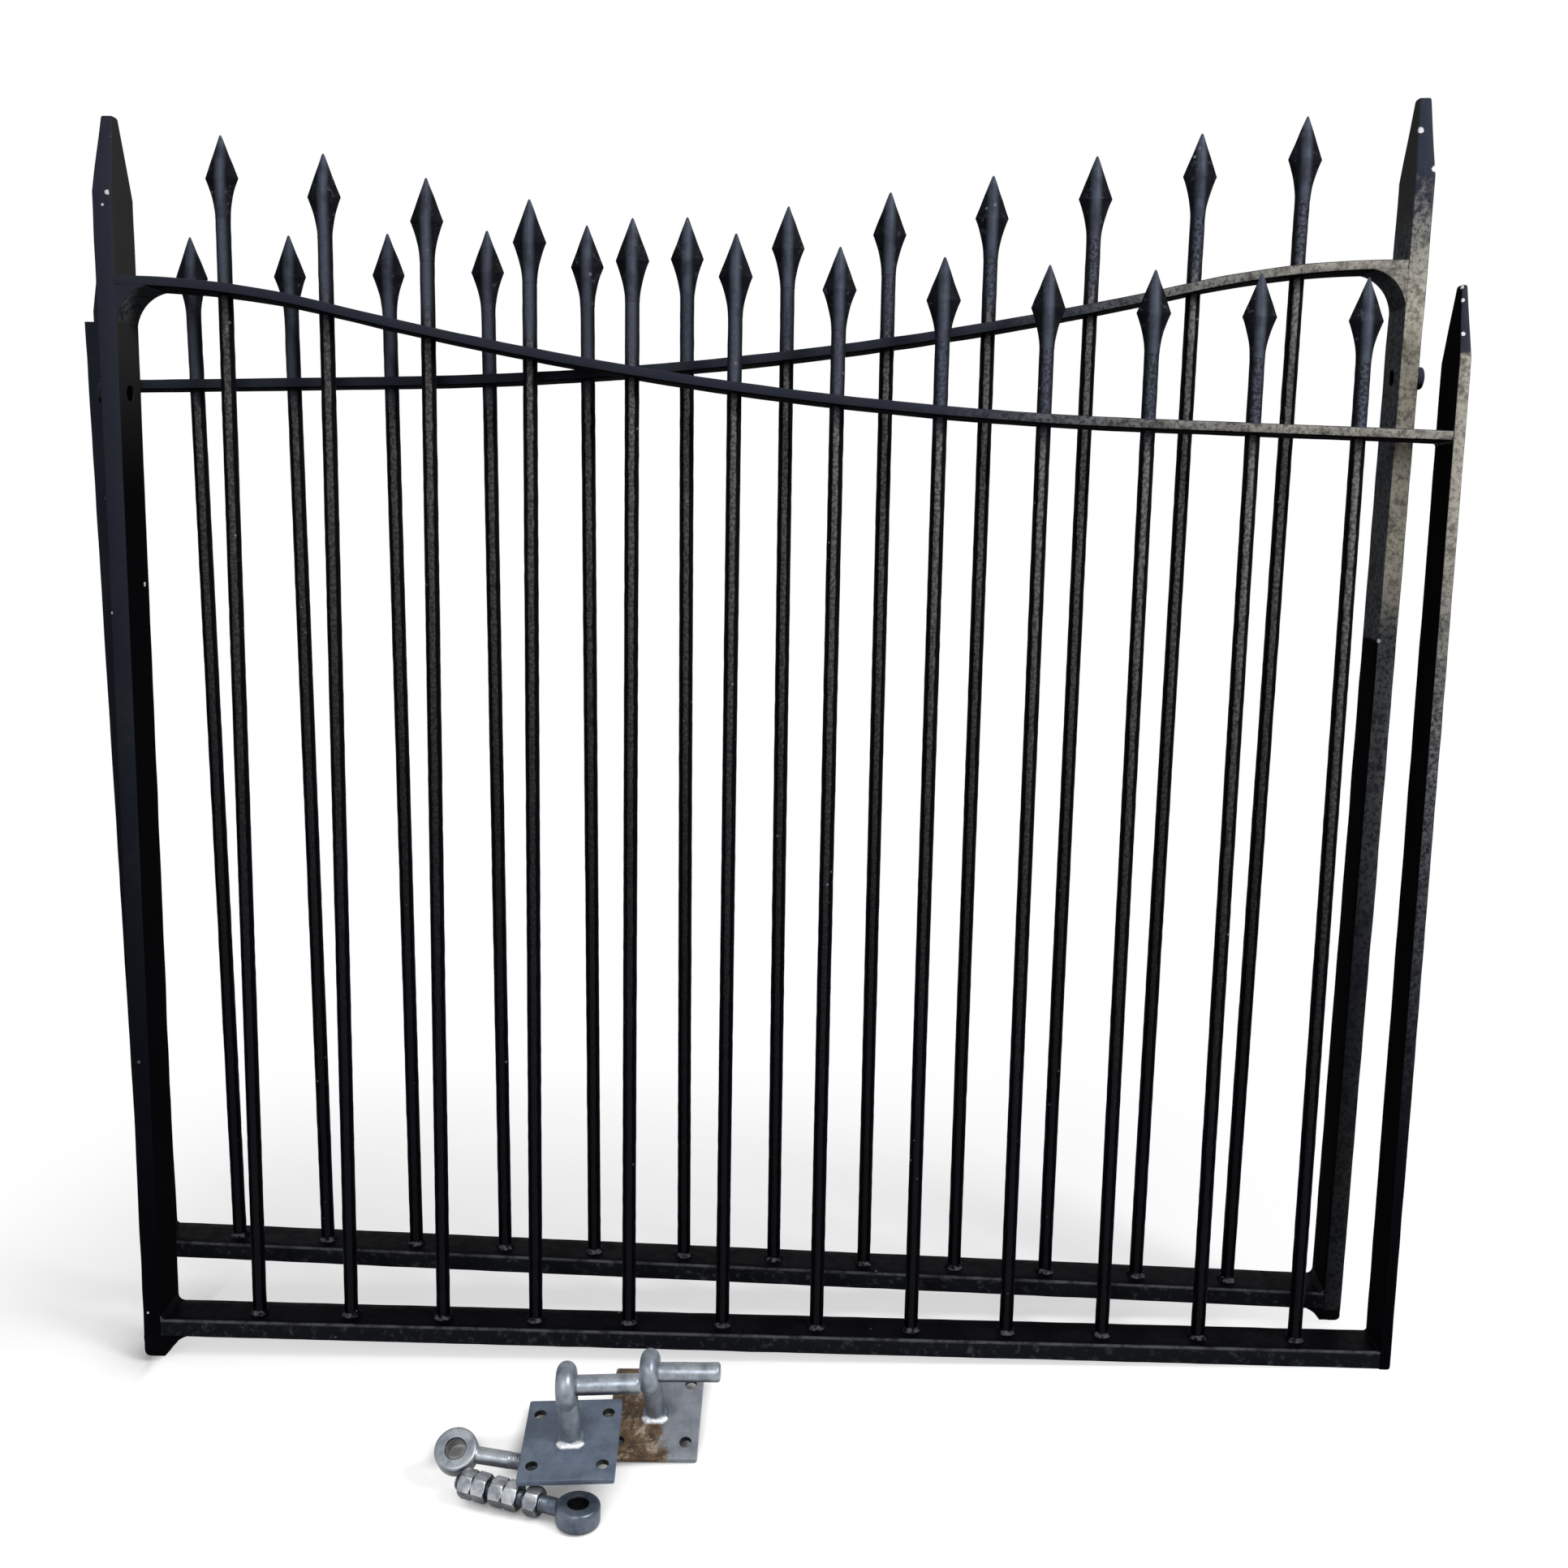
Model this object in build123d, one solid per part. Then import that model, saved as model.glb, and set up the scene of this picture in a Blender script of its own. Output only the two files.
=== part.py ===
from build123d import *
import math
import os

# Pair of wrought steel garden gates, standing one in front of the other,
# with the loose irons of their top hinges on the ground before them.
# Millimetres. X runs along the front leaf from its hanging stile, Y away from the viewer, Z up.
# The origin is the point on the ground under the front leaf's heel.

# Flat bar frame of one leaf
frame_depth = 50.0
hanging_stile_width = 20.0
hanging_stile_rise = 163.0
hanging_tip_width = 12.0
hanging_tip_depth = 13.0
hanging_tip_length = 77.0
meeting_stile_width = 12.0
meeting_stile_rise = 146.8
meeting_tip_width = 6.0
meeting_tip_depth = 13.0
meeting_tip_length = 72.0
meeting_foot_radius = 4.0
closing_bar_thickness = 12.0
closing_bar_depth = 40.0
closing_bar_start = 40.0
closing_bar_drop = 10.0
bottom_rail_thickness = 20.0
bottom_rail_rise = 20.0

# Curved top rail: a shoulder at the hanging stile, a long sweep and a nearly level run
top_rail_thickness = 10.0
top_rail_height = 1144.0
shoulder_radius = 960.0
sweep_radius = 4220.0
fall_angle = 12.8
run_angle = 1.4
bracket_radius = 42.0

# Round bars with flattened spear heads
bar_count = 12
bar_diameter = 15.0
bar_pitch = 105.0
first_bar_offset = 114.0
last_bar_gap = 91.0
bar_hole_clearance = 0.2
spear_reach = 152.0
spear_length = 82.0
spear_width = 34.5
spear_thickness = 17.0
spear_shoulder = 40.0
spear_waist = 17.0
spear_waist_width = 19.6
spear_point_width = 2.4
spear_neck_flare = 0.8

# Weld beads
foot_weld_leg = 3.5
foot_weld_height = 4.5
foot_weld_clearance = 0.15
foot_weld_sides = 10
foot_corner_weld_radius = 8.0
meeting_corner_weld_radius = 3.0
hook_weld_leg = 3.5

# Heel that carries the leaf, and the boss for the top hinge's eye bolt
front_heel_drop = 32.0
rear_heel_drop = 21.0
front_heel_flare = 28.0
rear_heel_flare = 18.0
heel_toe = 3.0
heel_hollow_radius = 40.0
heel_corner_radius = 6.0
heel_pin_diameter = 16.0
heel_pin_length = 8.0
heel_dome_radius = 20.0
hinge_boss_drop = 110.0
hinge_boss_diameter = 23.0
hinge_boss_length = 11.0

# How the rear leaf stands behind the front one
rear_offset = 1331.0
rear_lean = 1.7
rear_yaw = 0.56
rear_roll_ease = 0.13
leaf_gap = 0.5

# Eye bolts of the top hinges
bolt_diameter = 16.0
bolt_hole_clearance = 0.5
bolt_length = 126.0
eye_diameter = 42.0
eye_bore = 20.0
eye_thickness = 20.0
eye_chamfer = 2.0
bolt_end_chamfer = 1.3
nut_across_flats = 24.0
nut_thickness = 14.0
nut_bore_clearance = 0.05
nut_chamfer = 1.5
lock_nut_gap = 0.3

# Hooks on plates of the top hinges
plate_width = 92.0
plate_length = 105.0
plate_thickness = 6.0
plate_corner_radius = 2.0
plate_hole_spacing = 67.0
plate_hole_diameter = 11.0
hook_reach = 64.0
hook_arm_diameter = 20.0
hook_arm_sink = 6.0
hook_eye_diameter = 45.0
hook_eye_thickness = 16.0
hook_eye_chamfer = 4.0
hook_pin_diameter = 19.0
hook_pin_length = 62.0
hook_pin_chamfer = 1.5
hook_spigot_diameter = 15.0
hook_spigot_clearance = 0.05
hook_shoulder_gap = 0.5

# How the irons lie on the ground
iron_gap = 0.3
front_hook_x = 518.0
front_hook_y = -296.0
front_hook_tilt = 12.0
front_hook_yaw = 3.5
front_hook_seat = 5.0
rear_hook_x = 586.0
rear_hook_y = -211.0
rear_hook_tilt = 24.0
left_bolt_back = 39.0
left_bolt_overhang = 65.0
left_bolt_yaw = -5.0
left_bolt_fall = 6.0
left_bolt_roll = 40.0
right_bolt_x = 532.0
right_bolt_y = -311.0
right_bolt_yaw = 164.1
right_bolt_lift = 4.0
right_bolt_nut_places = {"a": 45.0, "b": 74.0, "c": 106.5}

# Derived places of one leaf, from the hanging stile's axis and the bottom rail's underside
stile_face = hanging_stile_width / 2
hanging_stile_height = top_rail_height + hanging_stile_rise
hinge_boss_height = top_rail_height - hinge_boss_drop
leaf_width = first_bar_offset + (bar_count - 1) * bar_pitch + last_bar_gap
meeting_face = leaf_width - meeting_stile_width / 2
leaf_edge = leaf_width + meeting_stile_width / 2
bottom_slope = bottom_rail_rise / leaf_width
bar_places = [first_bar_offset + index * bar_pitch for index in range(bar_count)]
bar_radius = bar_diameter / 2
bolt_hole_diameter = bolt_diameter + 2 * bolt_hole_clearance


def sine(angle):
    return math.sin(math.radians(angle))


def cosine(angle):
    return math.cos(math.radians(angle))


def bottom_rail_top(x):
    """Height of the bottom rail's upper face, which rises towards the meeting stile."""
    return bottom_rail_thickness + bottom_slope * x


def top_rail_centre(x):
    """Height of the top rail's middle line: shoulder arc, sweep arc, then the straight run."""
    along = x - stile_face
    sweep_start = shoulder_radius * sine(fall_angle)
    sweep_end = sweep_start + sweep_radius * (sine(fall_angle) - sine(run_angle))
    sweep_height = top_rail_height - shoulder_radius * (1 - cosine(fall_angle))
    if along < sweep_start:
        return top_rail_height - shoulder_radius + math.sqrt(shoulder_radius**2 - along**2)
    if along < sweep_end:
        slope_sine = sine(fall_angle) - (along - sweep_start) / sweep_radius
        return sweep_height - sweep_radius * (math.sqrt(1 - slope_sine**2) - cosine(fall_angle))
    run_height = sweep_height - sweep_radius * (cosine(run_angle) - cosine(fall_angle))
    return run_height - (along - sweep_end) * math.tan(math.radians(run_angle))


def upright(face, depth=frame_depth):
    """Extrude a face drawn in X and Z to both sides of the leaf's middle plane."""
    return extrude(Plane.XZ * face, amount=depth / 2, both=True)


def blunt_taper(width, depth, tip_width, tip_depth, length):
    """Four-sided taper from a flat bar's section to a small blunt tip."""
    base = Rectangle(width, depth)
    tip = Pos(0, 0, length) * Rectangle(tip_width, tip_depth)
    return loft([base, tip], ruled=True)


def across(diameter, length):
    """Round bar along X, centred on the origin."""
    return Rot(0, 90, 0) * Cylinder(diameter / 2, length)


def hanging_stile():
    shaft_height = hanging_stile_height - hanging_tip_length
    shaft = Pos(0, 0, shaft_height / 2) * Box(hanging_stile_width, frame_depth, shaft_height)
    tip = blunt_taper(
        hanging_stile_width, frame_depth, hanging_tip_width, hanging_tip_depth, hanging_tip_length
    )
    hole = Pos(0, 0, hinge_boss_height) * across(bolt_hole_diameter, 2 * hanging_stile_width)
    return shaft + Pos(0, 0, shaft_height) * tip - hole


def heel(drop, flare):
    """Forged foot of the hanging stile: a hollow-sided block on a short round pin with a domed end."""
    block_drop = drop - heel_pin_length
    toe, flare_reach = stile_face + heel_toe, stile_face + flare
    side = make_face(
        Polyline((flare_reach, 0), (-stile_face, 0), (-stile_face, -block_drop), (toe, -block_drop))
        + RadiusArc((toe, -block_drop), (flare_reach, 0), heel_hollow_radius)
    )
    block = upright(side)
    outer_edge = block.edges().filter_by(Axis.Y).group_by(Axis.Z)[0].sort_by(Axis.X)[0]
    block = fillet(outer_edge, heel_corner_radius)
    pin_radius = heel_pin_diameter / 2
    wall_end = heel_dome_radius - math.sqrt(heel_dome_radius**2 - pin_radius**2) - drop
    pin_profile = make_face(
        Polyline((0, -drop), (0, -block_drop), (pin_radius, -block_drop), (pin_radius, wall_end))
        + RadiusArc((pin_radius, wall_end), (0, -drop), heel_dome_radius)
    )
    return block + revolve(Plane.XZ * pin_profile, Axis.Z)


def meeting_shaft_height():
    """Height of the meeting stile's parallel part above its foot."""
    top = top_rail_centre(meeting_face) + meeting_stile_rise
    return top - bottom_rail_rise - meeting_tip_length


def meeting_stile():
    shaft_height = meeting_shaft_height()
    shaft = Pos(0, 0, shaft_height / 2) * Box(meeting_stile_width, frame_depth, shaft_height)
    foot_edge = shaft.edges().filter_by(Axis.Y).group_by(Axis.Z)[0].sort_by(Axis.X)[-1]
    shaft = fillet(foot_edge, meeting_foot_radius)
    tip = blunt_taper(
        meeting_stile_width, frame_depth, meeting_tip_width, meeting_tip_depth, meeting_tip_length
    )
    return Pos(leaf_width, 0, bottom_rail_rise) * (shaft + Pos(0, 0, shaft_height) * tip)


def closing_bar():
    """Flat bar welded to the outer face of the rear leaf's meeting stile, against which the pair shuts."""
    length = meeting_shaft_height() - closing_bar_start - closing_bar_drop
    middle = bottom_rail_rise + closing_bar_start + length / 2
    strip = Box(closing_bar_thickness, closing_bar_depth, length)
    return Pos(leaf_edge + closing_bar_thickness / 2, 0, middle) * strip


def bottom_rail():
    left, right = bottom_rail_top(stile_face), bottom_rail_top(meeting_face)
    outline = Polyline(
        (stile_face, left - bottom_rail_thickness),
        (meeting_face, right - bottom_rail_thickness),
        (meeting_face, right),
        (stile_face, left),
        close=True,
    )
    return upright(make_face(outline))


def top_rail_edge(offset):
    """One long edge of the top rail, drawn from the hanging stile to past the meeting stile."""
    start = (stile_face, top_rail_height + offset)
    shoulder = JernArc(start, (1, 0), shoulder_radius + offset, -fall_angle)
    sweep = JernArc(shoulder @ 1, shoulder % 1, sweep_radius - offset, fall_angle - run_angle)
    run = Line(sweep @ 1, sweep @ 1 + (sweep % 1) * leaf_width)
    return shoulder + sweep + run, start, run @ 1


def top_rail_blank():
    upper, upper_start, upper_end = top_rail_edge(top_rail_thickness / 2)
    lower, lower_start, lower_end = top_rail_edge(-top_rail_thickness / 2)
    outline = upper + lower + Line(upper_start, lower_start) + Line(upper_end, lower_end)
    rail = upright(make_face(outline))
    between = Pos((stile_face + meeting_face) / 2, 0, top_rail_height) * Box(
        meeting_face - stile_face, 2 * frame_depth, 2 * top_rail_height
    )
    return rail & between


def top_rail():
    hole_radius = bar_radius + bar_hole_clearance
    holes = [
        Pos(x, 0, top_rail_centre(x)) * Cylinder(hole_radius, 4 * top_rail_thickness)
        for x in bar_places
    ]
    return top_rail_blank() - holes


def hollow_corner(x, z, radius, side, rise, depth=frame_depth):
    """Corner filler with a hollow quarter-round face: side and rise say which way it opens."""
    block = Pos(x + side * radius / 2, 0, z + rise * radius / 2) * Box(radius, depth, radius)
    hollow = Pos(x + side * radius, 0, z + rise * radius) * Rot(90, 0, 0) * Cylinder(radius, 2 * depth)
    return block - hollow


def top_bracket():
    corner_height = top_rail_height - top_rail_thickness / 2
    return hollow_corner(stile_face, corner_height, bracket_radius, 1, -1) - top_rail_blank()


def hinge_boss():
    middle = -stile_face - hinge_boss_length / 2
    blank = Pos(middle, 0, hinge_boss_height) * across(hinge_boss_diameter, hinge_boss_length)
    bore = Pos(middle, 0, hinge_boss_height) * across(bolt_hole_diameter, 2 * hinge_boss_length)
    return blank - bore


def bar(x):
    foot = bottom_rail_top(x)
    top = top_rail_centre(x) + spear_reach - spear_length
    start = foot - bar_diameter
    rod = Pos(x, 0, (start + top) / 2) * Cylinder(bar_radius, top - start)
    rail_plane = Plane(origin=(x, 0, foot), z_dir=(-bottom_slope, 0, 1))
    return split(rod, bisect_by=rail_plane, keep=Keep.TOP)


def spear_section(height, width, thickness, fullness):
    """Eight-sided section with corners on both axes; fullness sets how far the other four stand out."""
    corners = []
    for turn in range(8):
        reach = 1 if turn % 2 == 0 else fullness
        angle = 45 * turn
        corners.append((reach * cosine(angle) * width / 2, reach * sine(angle) * thickness / 2))
    return Pos(0, 0, height) * make_face(Polyline(*corners, close=True))


def spear_head(x):
    """Forged spear: swells from the round bar to a lozenge shoulder and runs to a point."""
    round_section, lozenge = 1, math.sqrt(0.5)
    neck = bar_diameter + spear_neck_flare
    point_thickness = spear_point_width * spear_thickness / spear_width
    sections = [
        spear_section(0, neck, neck, round_section),
        spear_section(spear_waist, spear_waist_width, neck, (round_section + lozenge) / 2),
        spear_section(spear_shoulder, spear_width, spear_thickness, lozenge),
        spear_section(spear_length, spear_point_width, point_thickness, lozenge),
    ]
    base = top_rail_centre(x) + spear_reach - spear_length
    return Pos(x, 0, base) * loft(sections, ruled=True)


def foot_weld_outline(radius):
    return RegularPolygon(radius, foot_weld_sides, major_radius=False)


def foot_weld(x):
    """Weld bead round a bar's foot, lying on the sloped rail."""
    inner = bar_radius + foot_weld_clearance
    bead = loft(
        [
            foot_weld_outline(inner + foot_weld_leg),
            Pos(0, 0, foot_weld_height) * foot_weld_outline(inner + foot_weld_leg / 4),
        ],
        ruled=True,
    )
    bead -= extrude(foot_weld_outline(inner), amount=2 * foot_weld_height, both=True)
    tilt = -math.degrees(math.atan(bottom_slope))
    return Pos(x, 0, bottom_rail_top(x)) * Rot(0, tilt, 0) * bead


def frame_welds():
    run_underside = top_rail_centre(meeting_face) - top_rail_thickness / 2 / cosine(run_angle)
    foot = hollow_corner(stile_face, bottom_rail_top(stile_face), foot_corner_weld_radius, 1, 1)
    toe = hollow_corner(meeting_face, bottom_rail_top(meeting_face), meeting_corner_weld_radius, -1, 1)
    head = hollow_corner(meeting_face, run_underside, meeting_corner_weld_radius, -1, -1)
    rails = [bottom_rail(), top_rail_blank()]
    return Compound([bead - rails for bead in (foot, toe, head)])


def leaf(heel_drop, heel_flare):
    """All pieces of one leaf in its own frame."""
    pieces = {
        "hanging_stile": hanging_stile(),
        "heel": heel(heel_drop, heel_flare),
        "meeting_stile": meeting_stile(),
        "bottom_rail": bottom_rail(),
        "top_rail": top_rail(),
        "top_bracket": top_bracket(),
        "hinge_boss": hinge_boss(),
        "spear_heads": Compound([spear_head(x) for x in bar_places]),
        "foot_welds": Compound([foot_weld(x) for x in bar_places]),
        "frame_welds": frame_welds(),
    }
    for index, x in enumerate(bar_places):
        pieces[f"bar_{index + 1:02d}"] = bar(x)
    return pieces


# The front leaf stands on its heel and on the rounded foot of its meeting stile
foot_across = leaf_edge - meeting_foot_radius
foot_up = bottom_rail_rise + meeting_foot_radius + front_heel_drop - heel_dome_radius
leaf_roll = math.degrees(
    math.atan2(foot_up, foot_across)
    + math.asin((heel_dome_radius - meeting_foot_radius) / math.hypot(foot_up, foot_across))
)
front_place = (
    Pos(0, 0, heel_dome_radius) * Rot(0, leaf_roll, 0) * Pos(0, 0, front_heel_drop - heel_dome_radius)
)

# The rear leaf is the same leaf turned round; its top rail leans on the front hanging stile
contact_height = top_rail_centre(meeting_face) + leaf_width * sine(leaf_roll) + rear_heel_drop
contact_reach = rear_offset - stile_face - contact_height * sine(leaf_roll)
rear_stand_off = (
    frame_depth + leaf_gap + contact_height * sine(rear_lean) + contact_reach * sine(rear_yaw)
)
rear_place = (
    Pos(rear_offset, rear_stand_off, heel_dome_radius)
    * Rot(0, 0, rear_yaw)
    * Rot(rear_lean, 0, 0)
    * Rot(0, leaf_roll - rear_roll_ease, 0)
    * Rot(0, 0, 180)
    * Pos(0, 0, rear_heel_drop - heel_dome_radius)
)


def eye_bolt():
    """Forged eye with a plain round shank along X; the eye's bore stands along Z."""
    ring = chamfer(Cylinder(eye_diameter / 2, eye_thickness).edges(), eye_chamfer)
    shank = Pos(bolt_length / 2, 0, 0) * across(bolt_diameter, bolt_length)
    shank = chamfer(shank.faces().sort_by(Axis.X)[-1].edges(), bolt_end_chamfer)
    return ring + shank - Cylinder(eye_bore / 2, 2 * eye_thickness)


def nut(place):
    """Hexagon nut on an eye bolt's shank, its corners turned off by a cone at both faces."""
    hexagon = RegularPolygon(nut_across_flats / 2, 6, major_radius=False)
    blank = extrude(hexagon, amount=nut_thickness / 2, both=True)
    turned = chamfer(Cylinder(nut_across_flats / 2 / cosine(30), nut_thickness).edges(), nut_chamfer)
    bore = Cylinder(bolt_diameter / 2 + nut_bore_clearance, 2 * nut_thickness)
    return Pos(place, 0, 0) * Rot(0, 90, 0) * ((blank & turned) - bore)


def nut_pair(place):
    """Two nuts locked against each other."""
    half_pitch = (nut_thickness + lock_nut_gap) / 2
    return Compound([nut(place - half_pitch), nut(place + half_pitch)])


def hook_plate():
    """Plate from its lower front edge: X across, Y back, Z out of its face."""
    blank = Pos(0, plate_length / 2, plate_thickness / 2) * Box(plate_width, plate_length, plate_thickness)
    blank = fillet(blank.edges().filter_by(Axis.Z), plate_corner_radius)
    holes = GridLocations(plate_hole_spacing, plate_hole_spacing, 2, 2)
    drills = [
        Pos(0, plate_length / 2, 0) * hole * Cylinder(plate_hole_diameter / 2, 4 * plate_thickness)
        for hole in holes
    ]
    return blank - drills


def hook_axis_height():
    return plate_thickness + hook_reach


def hook_arm():
    """Round arm with a forged eye at its head that holds the pin's spigot."""
    eye = chamfer(across(hook_eye_diameter, hook_eye_thickness).edges(), hook_eye_chamfer)
    arm_length = hook_reach - hook_eye_diameter / 2 + hook_arm_sink
    arm = Pos(0, 0, arm_length / 2 - hook_reach) * Cylinder(hook_arm_diameter / 2, arm_length)
    bore = across(hook_spigot_diameter + 2 * hook_spigot_clearance, 2 * hook_eye_thickness)
    return Pos(0, plate_length / 2, hook_axis_height()) * (eye + arm - bore)


def hook_pin():
    """Round pin with a thinner spigot that fills the arm's eye."""
    shoulder = hook_eye_thickness / 2 + hook_shoulder_gap
    length = hook_pin_length - hook_shoulder_gap
    pin = Pos(shoulder + length / 2, 0, 0) * across(hook_pin_diameter, length)
    pin = chamfer(pin.faces().sort_by(Axis.X)[-1].edges(), hook_pin_chamfer)
    spigot_length = hook_eye_thickness + hook_shoulder_gap
    spigot = Pos(shoulder - spigot_length / 2, 0, 0) * across(hook_spigot_diameter, spigot_length)
    return Pos(0, plate_length / 2, hook_axis_height()) * (pin + spigot)


def hook_weld():
    inner = hook_arm_diameter / 2
    bead = Cone(inner + hook_weld_leg, inner + hook_weld_leg / 4, hook_weld_leg)
    bead -= Cylinder(inner, 4 * hook_weld_leg)
    return Pos(0, plate_length / 2, plate_thickness + hook_weld_leg / 2) * bead


# The right eye bolt lies on its eye, lifted a little by its nuts
right_bolt_rise = eye_thickness / 2 * cosine(right_bolt_lift) + eye_diameter / 2 * sine(right_bolt_lift)
right_bolt_turn = Rot(0, 0, right_bolt_yaw) * Rot(0, -right_bolt_lift, 0)
right_bolt_place = Pos(right_bolt_x, right_bolt_y, right_bolt_rise) * right_bolt_turn

# The front hook's plate rests on the right bolt's nuts, a little behind its front edge
nut_corner_radius = nut_across_flats / 2 / cosine(30)
seat_place = right_bolt_nut_places["b"] - nut_thickness / 2
nut_top = right_bolt_rise + seat_place * sine(right_bolt_lift) + nut_corner_radius
front_hook_z = nut_top + iron_gap - front_hook_seat * sine(front_hook_tilt)
front_hook_place = (
    Pos(front_hook_x, front_hook_y, front_hook_z) * Rot(0, 0, front_hook_yaw) * Rot(front_hook_tilt, 0, 0)
)

# The left eye bolt's shank runs under that plate's left edge and just touches its underside
shank_touch = Vector(-plate_width / 2, left_bolt_back, -bolt_diameter / 2 - iron_gap)
shank_point = (front_hook_place * Pos(shank_touch)).position
left_bolt_turn = Rot(0, 0, left_bolt_yaw) * Rot(0, left_bolt_fall, 0)
left_bolt_place = (
    Pos(shank_point) * left_bolt_turn * Pos(-left_bolt_overhang, 0, 0) * Rot(left_bolt_roll, 0, 0)
)

# The rear hook stands behind on its plate's front edge
rear_hook_place = Pos(rear_hook_x, rear_hook_y, 0) * Rot(rear_hook_tilt, 0, 0)


def irons():
    """Every loose iron at its place on the ground."""
    pieces = {}
    for side, place in (("front", front_hook_place), ("rear", rear_hook_place)):
        pieces[f"{side}_hook_plate"] = place * hook_plate()
        pieces[f"{side}_hook_arm"] = place * hook_arm()
        pieces[f"{side}_hook_pin"] = place * hook_pin()
        pieces[f"{side}_hook_weld"] = place * hook_weld()
    pieces["left_eye_bolt"] = left_bolt_place * eye_bolt()
    pieces["right_eye_bolt"] = right_bolt_place * eye_bolt()
    pieces["right_eye_bolt_nut_a"] = right_bolt_place * nut(right_bolt_nut_places["a"])
    pieces["right_eye_bolt_nuts_b"] = right_bolt_place * nut_pair(right_bolt_nut_places["b"])
    pieces["right_eye_bolt_nuts_c"] = right_bolt_place * nut_pair(right_bolt_nut_places["c"])
    return pieces


def assembly():
    """All nodes of the pair, by name."""
    front_leaf = leaf(front_heel_drop, front_heel_flare)
    rear_leaf = leaf(rear_heel_drop, rear_heel_flare)
    rear_leaf["closing_bar"] = closing_bar()
    nodes = {f"front_{name}": front_place * piece for name, piece in front_leaf.items()}
    nodes.update({f"rear_{name}": rear_place * piece for name, piece in rear_leaf.items()})
    nodes.update(irons())
    return nodes


os.makedirs("parts", exist_ok=True)
for node_name, node in assembly().items():
    export_step(node, f"parts/{node_name}.step")
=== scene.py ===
import math

import bmesh
import bpy
from mathutils import Matrix, Vector, noise


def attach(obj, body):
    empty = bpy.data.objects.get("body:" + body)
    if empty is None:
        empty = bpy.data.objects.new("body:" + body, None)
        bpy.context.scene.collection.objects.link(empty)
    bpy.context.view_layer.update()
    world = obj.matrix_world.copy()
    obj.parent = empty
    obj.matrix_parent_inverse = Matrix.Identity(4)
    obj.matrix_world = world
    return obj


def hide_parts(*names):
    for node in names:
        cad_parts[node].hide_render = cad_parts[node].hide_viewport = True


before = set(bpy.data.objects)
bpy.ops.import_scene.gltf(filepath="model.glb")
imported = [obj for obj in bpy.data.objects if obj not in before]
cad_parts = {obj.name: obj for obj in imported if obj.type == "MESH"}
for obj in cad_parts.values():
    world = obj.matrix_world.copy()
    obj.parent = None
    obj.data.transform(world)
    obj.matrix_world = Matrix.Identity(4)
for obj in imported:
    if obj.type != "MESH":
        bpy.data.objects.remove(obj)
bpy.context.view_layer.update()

# Hanging stiles: the heavy flat bars that each leaf turns on, drawn to a blunt tip.
# Hot rolled steel bar with softened arrises, drilled for the top hinge's bolt and
# brushed with black gloss paint; the rear one carries a film of dust and lichen on its face.
MM = 0.001
STILE_WIDE = 20.0
FRAME_DEEP = 50.0
STILE_TALL = 1307.0
STILE_TIP = (12.0, 13.0, 77.0)
STILE_ARRIS = 1.8
STILE_DENTS = (0.45, 38)
LUG_HEIGHT = 1034.0
BOLT_HOLE = 17.0
PAINT_GLEAM = 0.01
CREASE = 35
HEEL_DROP = {"front": 32.0, "rear": 21.0}
HEEL_DOME = 20.0
LEAF_WIDE = 1360.0
LEAF_ROLL = 2.18693
REAR_AT = (1331.0, 95.11, HEEL_DOME)
REAR_LEAN = 1.7
REAR_YAW = 0.56
REAR_EASE = 0.13


def shift(x, y, z):
    return Matrix.Translation((x * MM, y * MM, z * MM))


def turn(axis, degrees):
    return Matrix.Rotation(math.radians(degrees), 4, axis)


LEAF_PLACE = {
    "front": shift(0, 0, HEEL_DOME)
    @ turn("Y", LEAF_ROLL)
    @ shift(0, 0, HEEL_DROP["front"] - HEEL_DOME),
    "rear": shift(*REAR_AT)
    @ turn("Z", REAR_YAW)
    @ turn("X", REAR_LEAN)
    @ turn("Y", LEAF_ROLL - REAR_EASE)
    @ turn("Z", 180)
    @ shift(0, 0, HEEL_DROP["rear"] - HEEL_DOME),
}


def steps(start, end, size):
    """Evenly spaced values from start to end, about one size apart."""
    count = max(1, round(abs(end - start) / size))
    return [start + (end - start) * index / count for index in range(count + 1)]


def flat_bar_section(wide, deep, arris, per_corner=4, per_face=5):
    """Outline of a flat bar with rounded arrises, as pairs across and deep."""
    points = []
    for corner in range(4):
        across = (1, -1, -1, 1)[corner] * (wide / 2 - arris)
        along = (1, 1, -1, -1)[corner] * (deep / 2 - arris)
        for index in range(per_corner):
            angle = math.radians(90 * corner + 90 * index / (per_corner - 1))
            points.append((across + arris * math.cos(angle), along + arris * math.sin(angle)))
        if corner in (1, 3):
            side = -1 if corner == 1 else 1
            for index in range(1, per_face):
                reach = (deep / 2 - arris) * (2 * index / per_face - 1)
                points.append((side * wide / 2, side * reach))
    return points


def lay_skin(bm, rings, closed=False):
    """Skin over rings of points in millimetres, capped at both ends unless it closes on itself."""
    rows = [[bm.verts.new(Vector(point) * MM) for point in ring] for ring in rings]
    following = rows[1:] + rows[:1] if closed else rows[1:]
    for low, high in zip(rows, following):
        for index in range(len(low)):
            after = (index + 1) % len(low)
            bm.faces.new((low[index], low[after], high[after], high[index]))
    if not closed:
        bm.faces.new(rows[0])
        bm.faces.new(rows[-1])


def ring_points(radius, around):
    angles = [2 * math.pi * index / around for index in range(around)]
    return [(radius * math.cos(angle), radius * math.sin(angle)) for angle in angles]


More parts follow.
